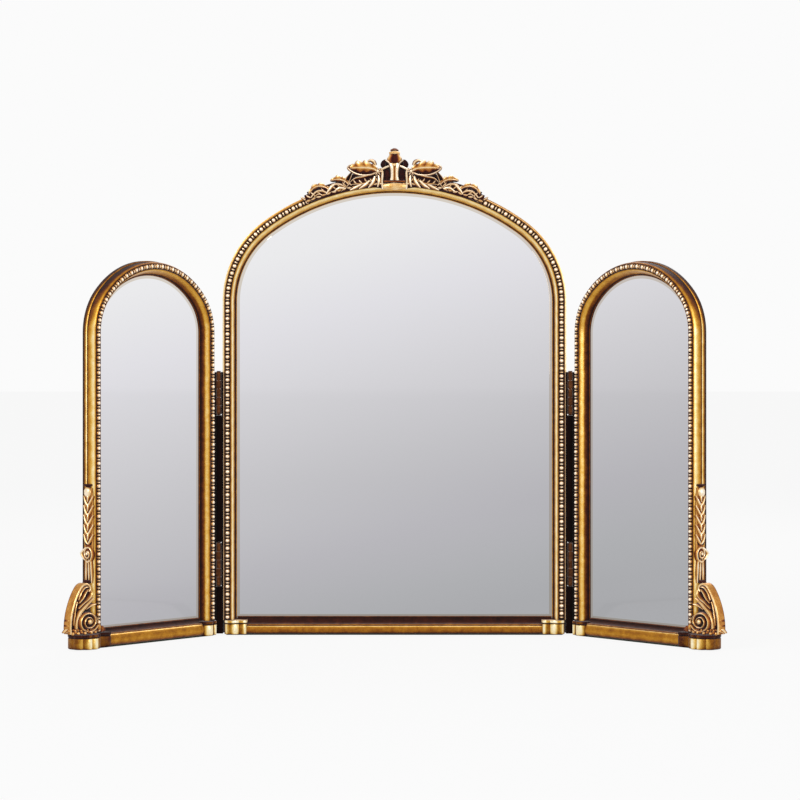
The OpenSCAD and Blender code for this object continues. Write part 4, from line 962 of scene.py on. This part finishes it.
# the scroll's pointed leaf tip, and a hollow over the scroll painted dark as shade
carve(drop, [(MID - 4, 130, 1.6, 1.6), (MID - 8.4, 125.6, 2.6, 3.6), (MID - 10.6, 121.6, 2.4, 5.2),
             (MID - 8, 115.6, 2.0, 3.2), (MID - 5, 112.6, 1.0, 1.4)], SUNK, HUSK)
carve(drop, [(MID - 6, 134, 2.6, 1.0), (MID, 136.4, 3.6, 1.2), (MID + 5, 134.6, 2.6, 1.0)], SUNK, DARK,
      steps=3)
for k in range(5):
    v = 134 + 12.4 * k
    for turn in (-1, 1):
        carve(drop, [(MID + turn * 0.4, v, 1.8, 2.4), (MID + turn * 4.2, v + 4.6, 2.6, 3.2),
                     (MID + turn * 8.4, v + 12.6, 0.8, 1.2)], SUNK, HUSK)
    carve(drop, [(MID - 0.6, v + 5, 1.4, 2.4), (MID + 0.4, v + 10, 2.2, 3.2), (MID, v + 15, 0.8, 1.6)],
          SUNK, HUSK)
berry(drop, (MID - 1.4, 200.6, 0.4), (6.6, 7.0, 3.8))
# a form over the knob, painted dark as shade
carve(drop, [(MID - 7.4, 210.4, 0.9, 1.2), (MID - 1.4, 209, 2.2, 2.8), (MID + 5.4, 210.4, 0.9, 1.2)],
      SUNK, DARK)
for key in ("left_wing", "right_wing"):
    # each bracket's tones are scaled to 0.86, darker than the rest
    carving(key + "_bracket", foot, beyond_edge, PANELS[key]["place"], key, key + "_foot_bracket", tone_scale=0.86)
    carving(key + "_husks", drop, on_side, PANELS[key]["place"], key, key + "_husk_drop")

# ---------------------------------------------------------------- boards, strips and felts
# Behind each mirror is a hardboard back, screwed on. A dark stained strip closes the gap at
# each hinge, its near-black colour partly painted shade in that gap, and green baize is glued under the feet.

def dress(finish, *nodes):
    """Gives CAD nodes a finish. Their shape stays."""
    for node in nodes:
        for place in frame["nodes"][node].material_slots:
            place.material = finish


def plain_finish(name, colours, grain, metal, rough, bump_mm, stretch=(1, 1, 1), gloss=0.15):
    """A finish with three tones of one colour in an uneven grain of the given size in mm."""
    made = bpy.data.materials.new(name)
    made.use_nodes = True
    tree = made.node_tree
    tree.nodes.clear()
    spot = add(tree, "ShaderNodeTexCoord").outputs["Object"]
    drawn = add(tree, "ShaderNodeVectorMath", {"operation": "MULTIPLY"}, {0: spot, 1: stretch})
    noise = add(tree, "ShaderNodeTexNoise", None,
                {"Vector": drawn.outputs[0], "Scale": 1 / (grain * MM), "Detail": 5.0})
    tint = add(tree, "ShaderNodeValToRGB", None, {0: noise.outputs[0]},
               [(0.3, colours[0]), (0.5, colours[1]), (0.7, colours[2])])
    # dust and shade gather within 4 mm of a corner
    hollow = add(tree, "ShaderNodeAmbientOcclusion", {"samples": 4},
                 {"Distance": 4 * MM, "Color": tint.outputs[0]})
    uneven = add(tree, "ShaderNodeMapRange", None, {0: noise.outputs[0], 3: rough - 0.08, 4: rough + 0.08})
    bump = add(tree, "ShaderNodeBump", None,
               {"Strength": 0.4, "Distance": bump_mm * MM, "Height": noise.outputs[0]})
    skin = add(tree, "ShaderNodeBsdfPrincipled", None,
               {"Base Color": hollow.outputs[0], "Metallic": metal, "Roughness": uneven.outputs[0],
                "Specular IOR Level": gloss, "Normal": bump.outputs[0]})
    add(tree, "ShaderNodeOutputMaterial", None, {0: skin.outputs[0]})
    return made


# pressed fibre under brown paint: a fine even grain without gloss
hardboard = plain_finish("pressed_hardboard_painted", ("#2a1a10", "#38241a", "#463026"),
                         grain=0.8, metal=0.0, rough=0.6, bump_mm=0.08)
# wood stained nearly black, which also paints the shade in the hinge gap: only its upright grain catches a
# little light
strip_stain_and_shade = plain_finish("wood_strip_stain_and_gap_shade", ("#0a0303", "#0f0504", "#180807"),
                       grain=2.5, metal=0.0, rough=0.6, bump_mm=0.06, stretch=(1, 1, 0.12), gloss=0.04)
# pressed brass, chemically browned: a dull reddish metal with cloudy patches
bronze = plain_finish("pressed_brass_browned", ("#3c2213", "#553018", "#6e4324"),
                      grain=3.0, metal=0.75, rough=0.42, bump_mm=0.04)
# turned steel, browned: a little brighter than the plates it holds
screw_metal = plain_finish("steel_screw_browned", ("#4a3320", "#6a4a2c", "#8a6238"),
                           grain=1.5, metal=0.85, rough=0.35, bump_mm=0.03)
# green wool cloth, raised: a soft nap with no gloss at all
baize = plain_finish("wool_baize", ("#26301f", "#34402a", "#425036"),
                     grain=0.7, metal=0.0, rough=0.95, bump_mm=0.3)
SIDES = ("left", "right")
dress(hardboard, *(key + "_backboard" for key in PANELS))
dress(strip_stain_and_shade, *(side + "_hinge_strip" for side in SIDES))
# On each wing the dark strip, its colour partly painted shade, fills the side and the shoulder up to the
# hinge strip's nose.
# (inset from the panel's edge, depth)
SLIP = [(0.02, 7.7), (0.02, 20.3), (0.5, 20.7), (3.8, 20.9), (4.25, 20.3), (4.25, 16), (1.6, 14), (1.6, 7.7)]
SLIP_TOP = 355
# A thin tongue on it, behind each hinge, keeps light from showing past the knuckles.
TONGUE = [(0.2, 15.9), (-5.6, 15.9), (-5.6, 16.9), (0.2, 16.9)]
for key in ("left_wing", "right_wing"):
    verts, faces = [], []
    for outline, low, high in ((SLIP, BLOCK_TOP + 0.1, SLIP_TOP), (TONGUE, 65.5, 125.5),
                               (TONGUE, 296.5, SLIP_TOP)):
        faces += tube_faces(2, len(outline), len(verts))
        verts += [((WING_HALF - inset) * MM, -n * MM, z * MM) for z in (low, high) for inset, n in outline]
    piece = finish_mesh(key + "_slip", verts, faces, [0.1] * len(verts), PANELS[key]["place"])
    piece.data.materials.append(strip_stain_and_shade)
    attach(piece, key)
    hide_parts(key + "_hinge_slip")
dress(bronze, *(side + part for side in SIDES
                for part in ("_hinge_fixed_leaves", "_hinge_moving_leaves", "_hinge_pins")))
dress(screw_metal, *(key + "_back_screws" for key in PANELS),
      *(side + part for side in SIDES for part in ("_hinge_fixed_screws", "_hinge_moving_screws")))
dress(baize, *(key + "_felt" for key in PANELS))

# The mirrors show the plain studio, as in a catalogue photograph, and not the other panels.
for piece in bpy.context.scene.objects:
    if piece.type == "MESH" and piece.name != "floor":
        piece.visible_glossy = False
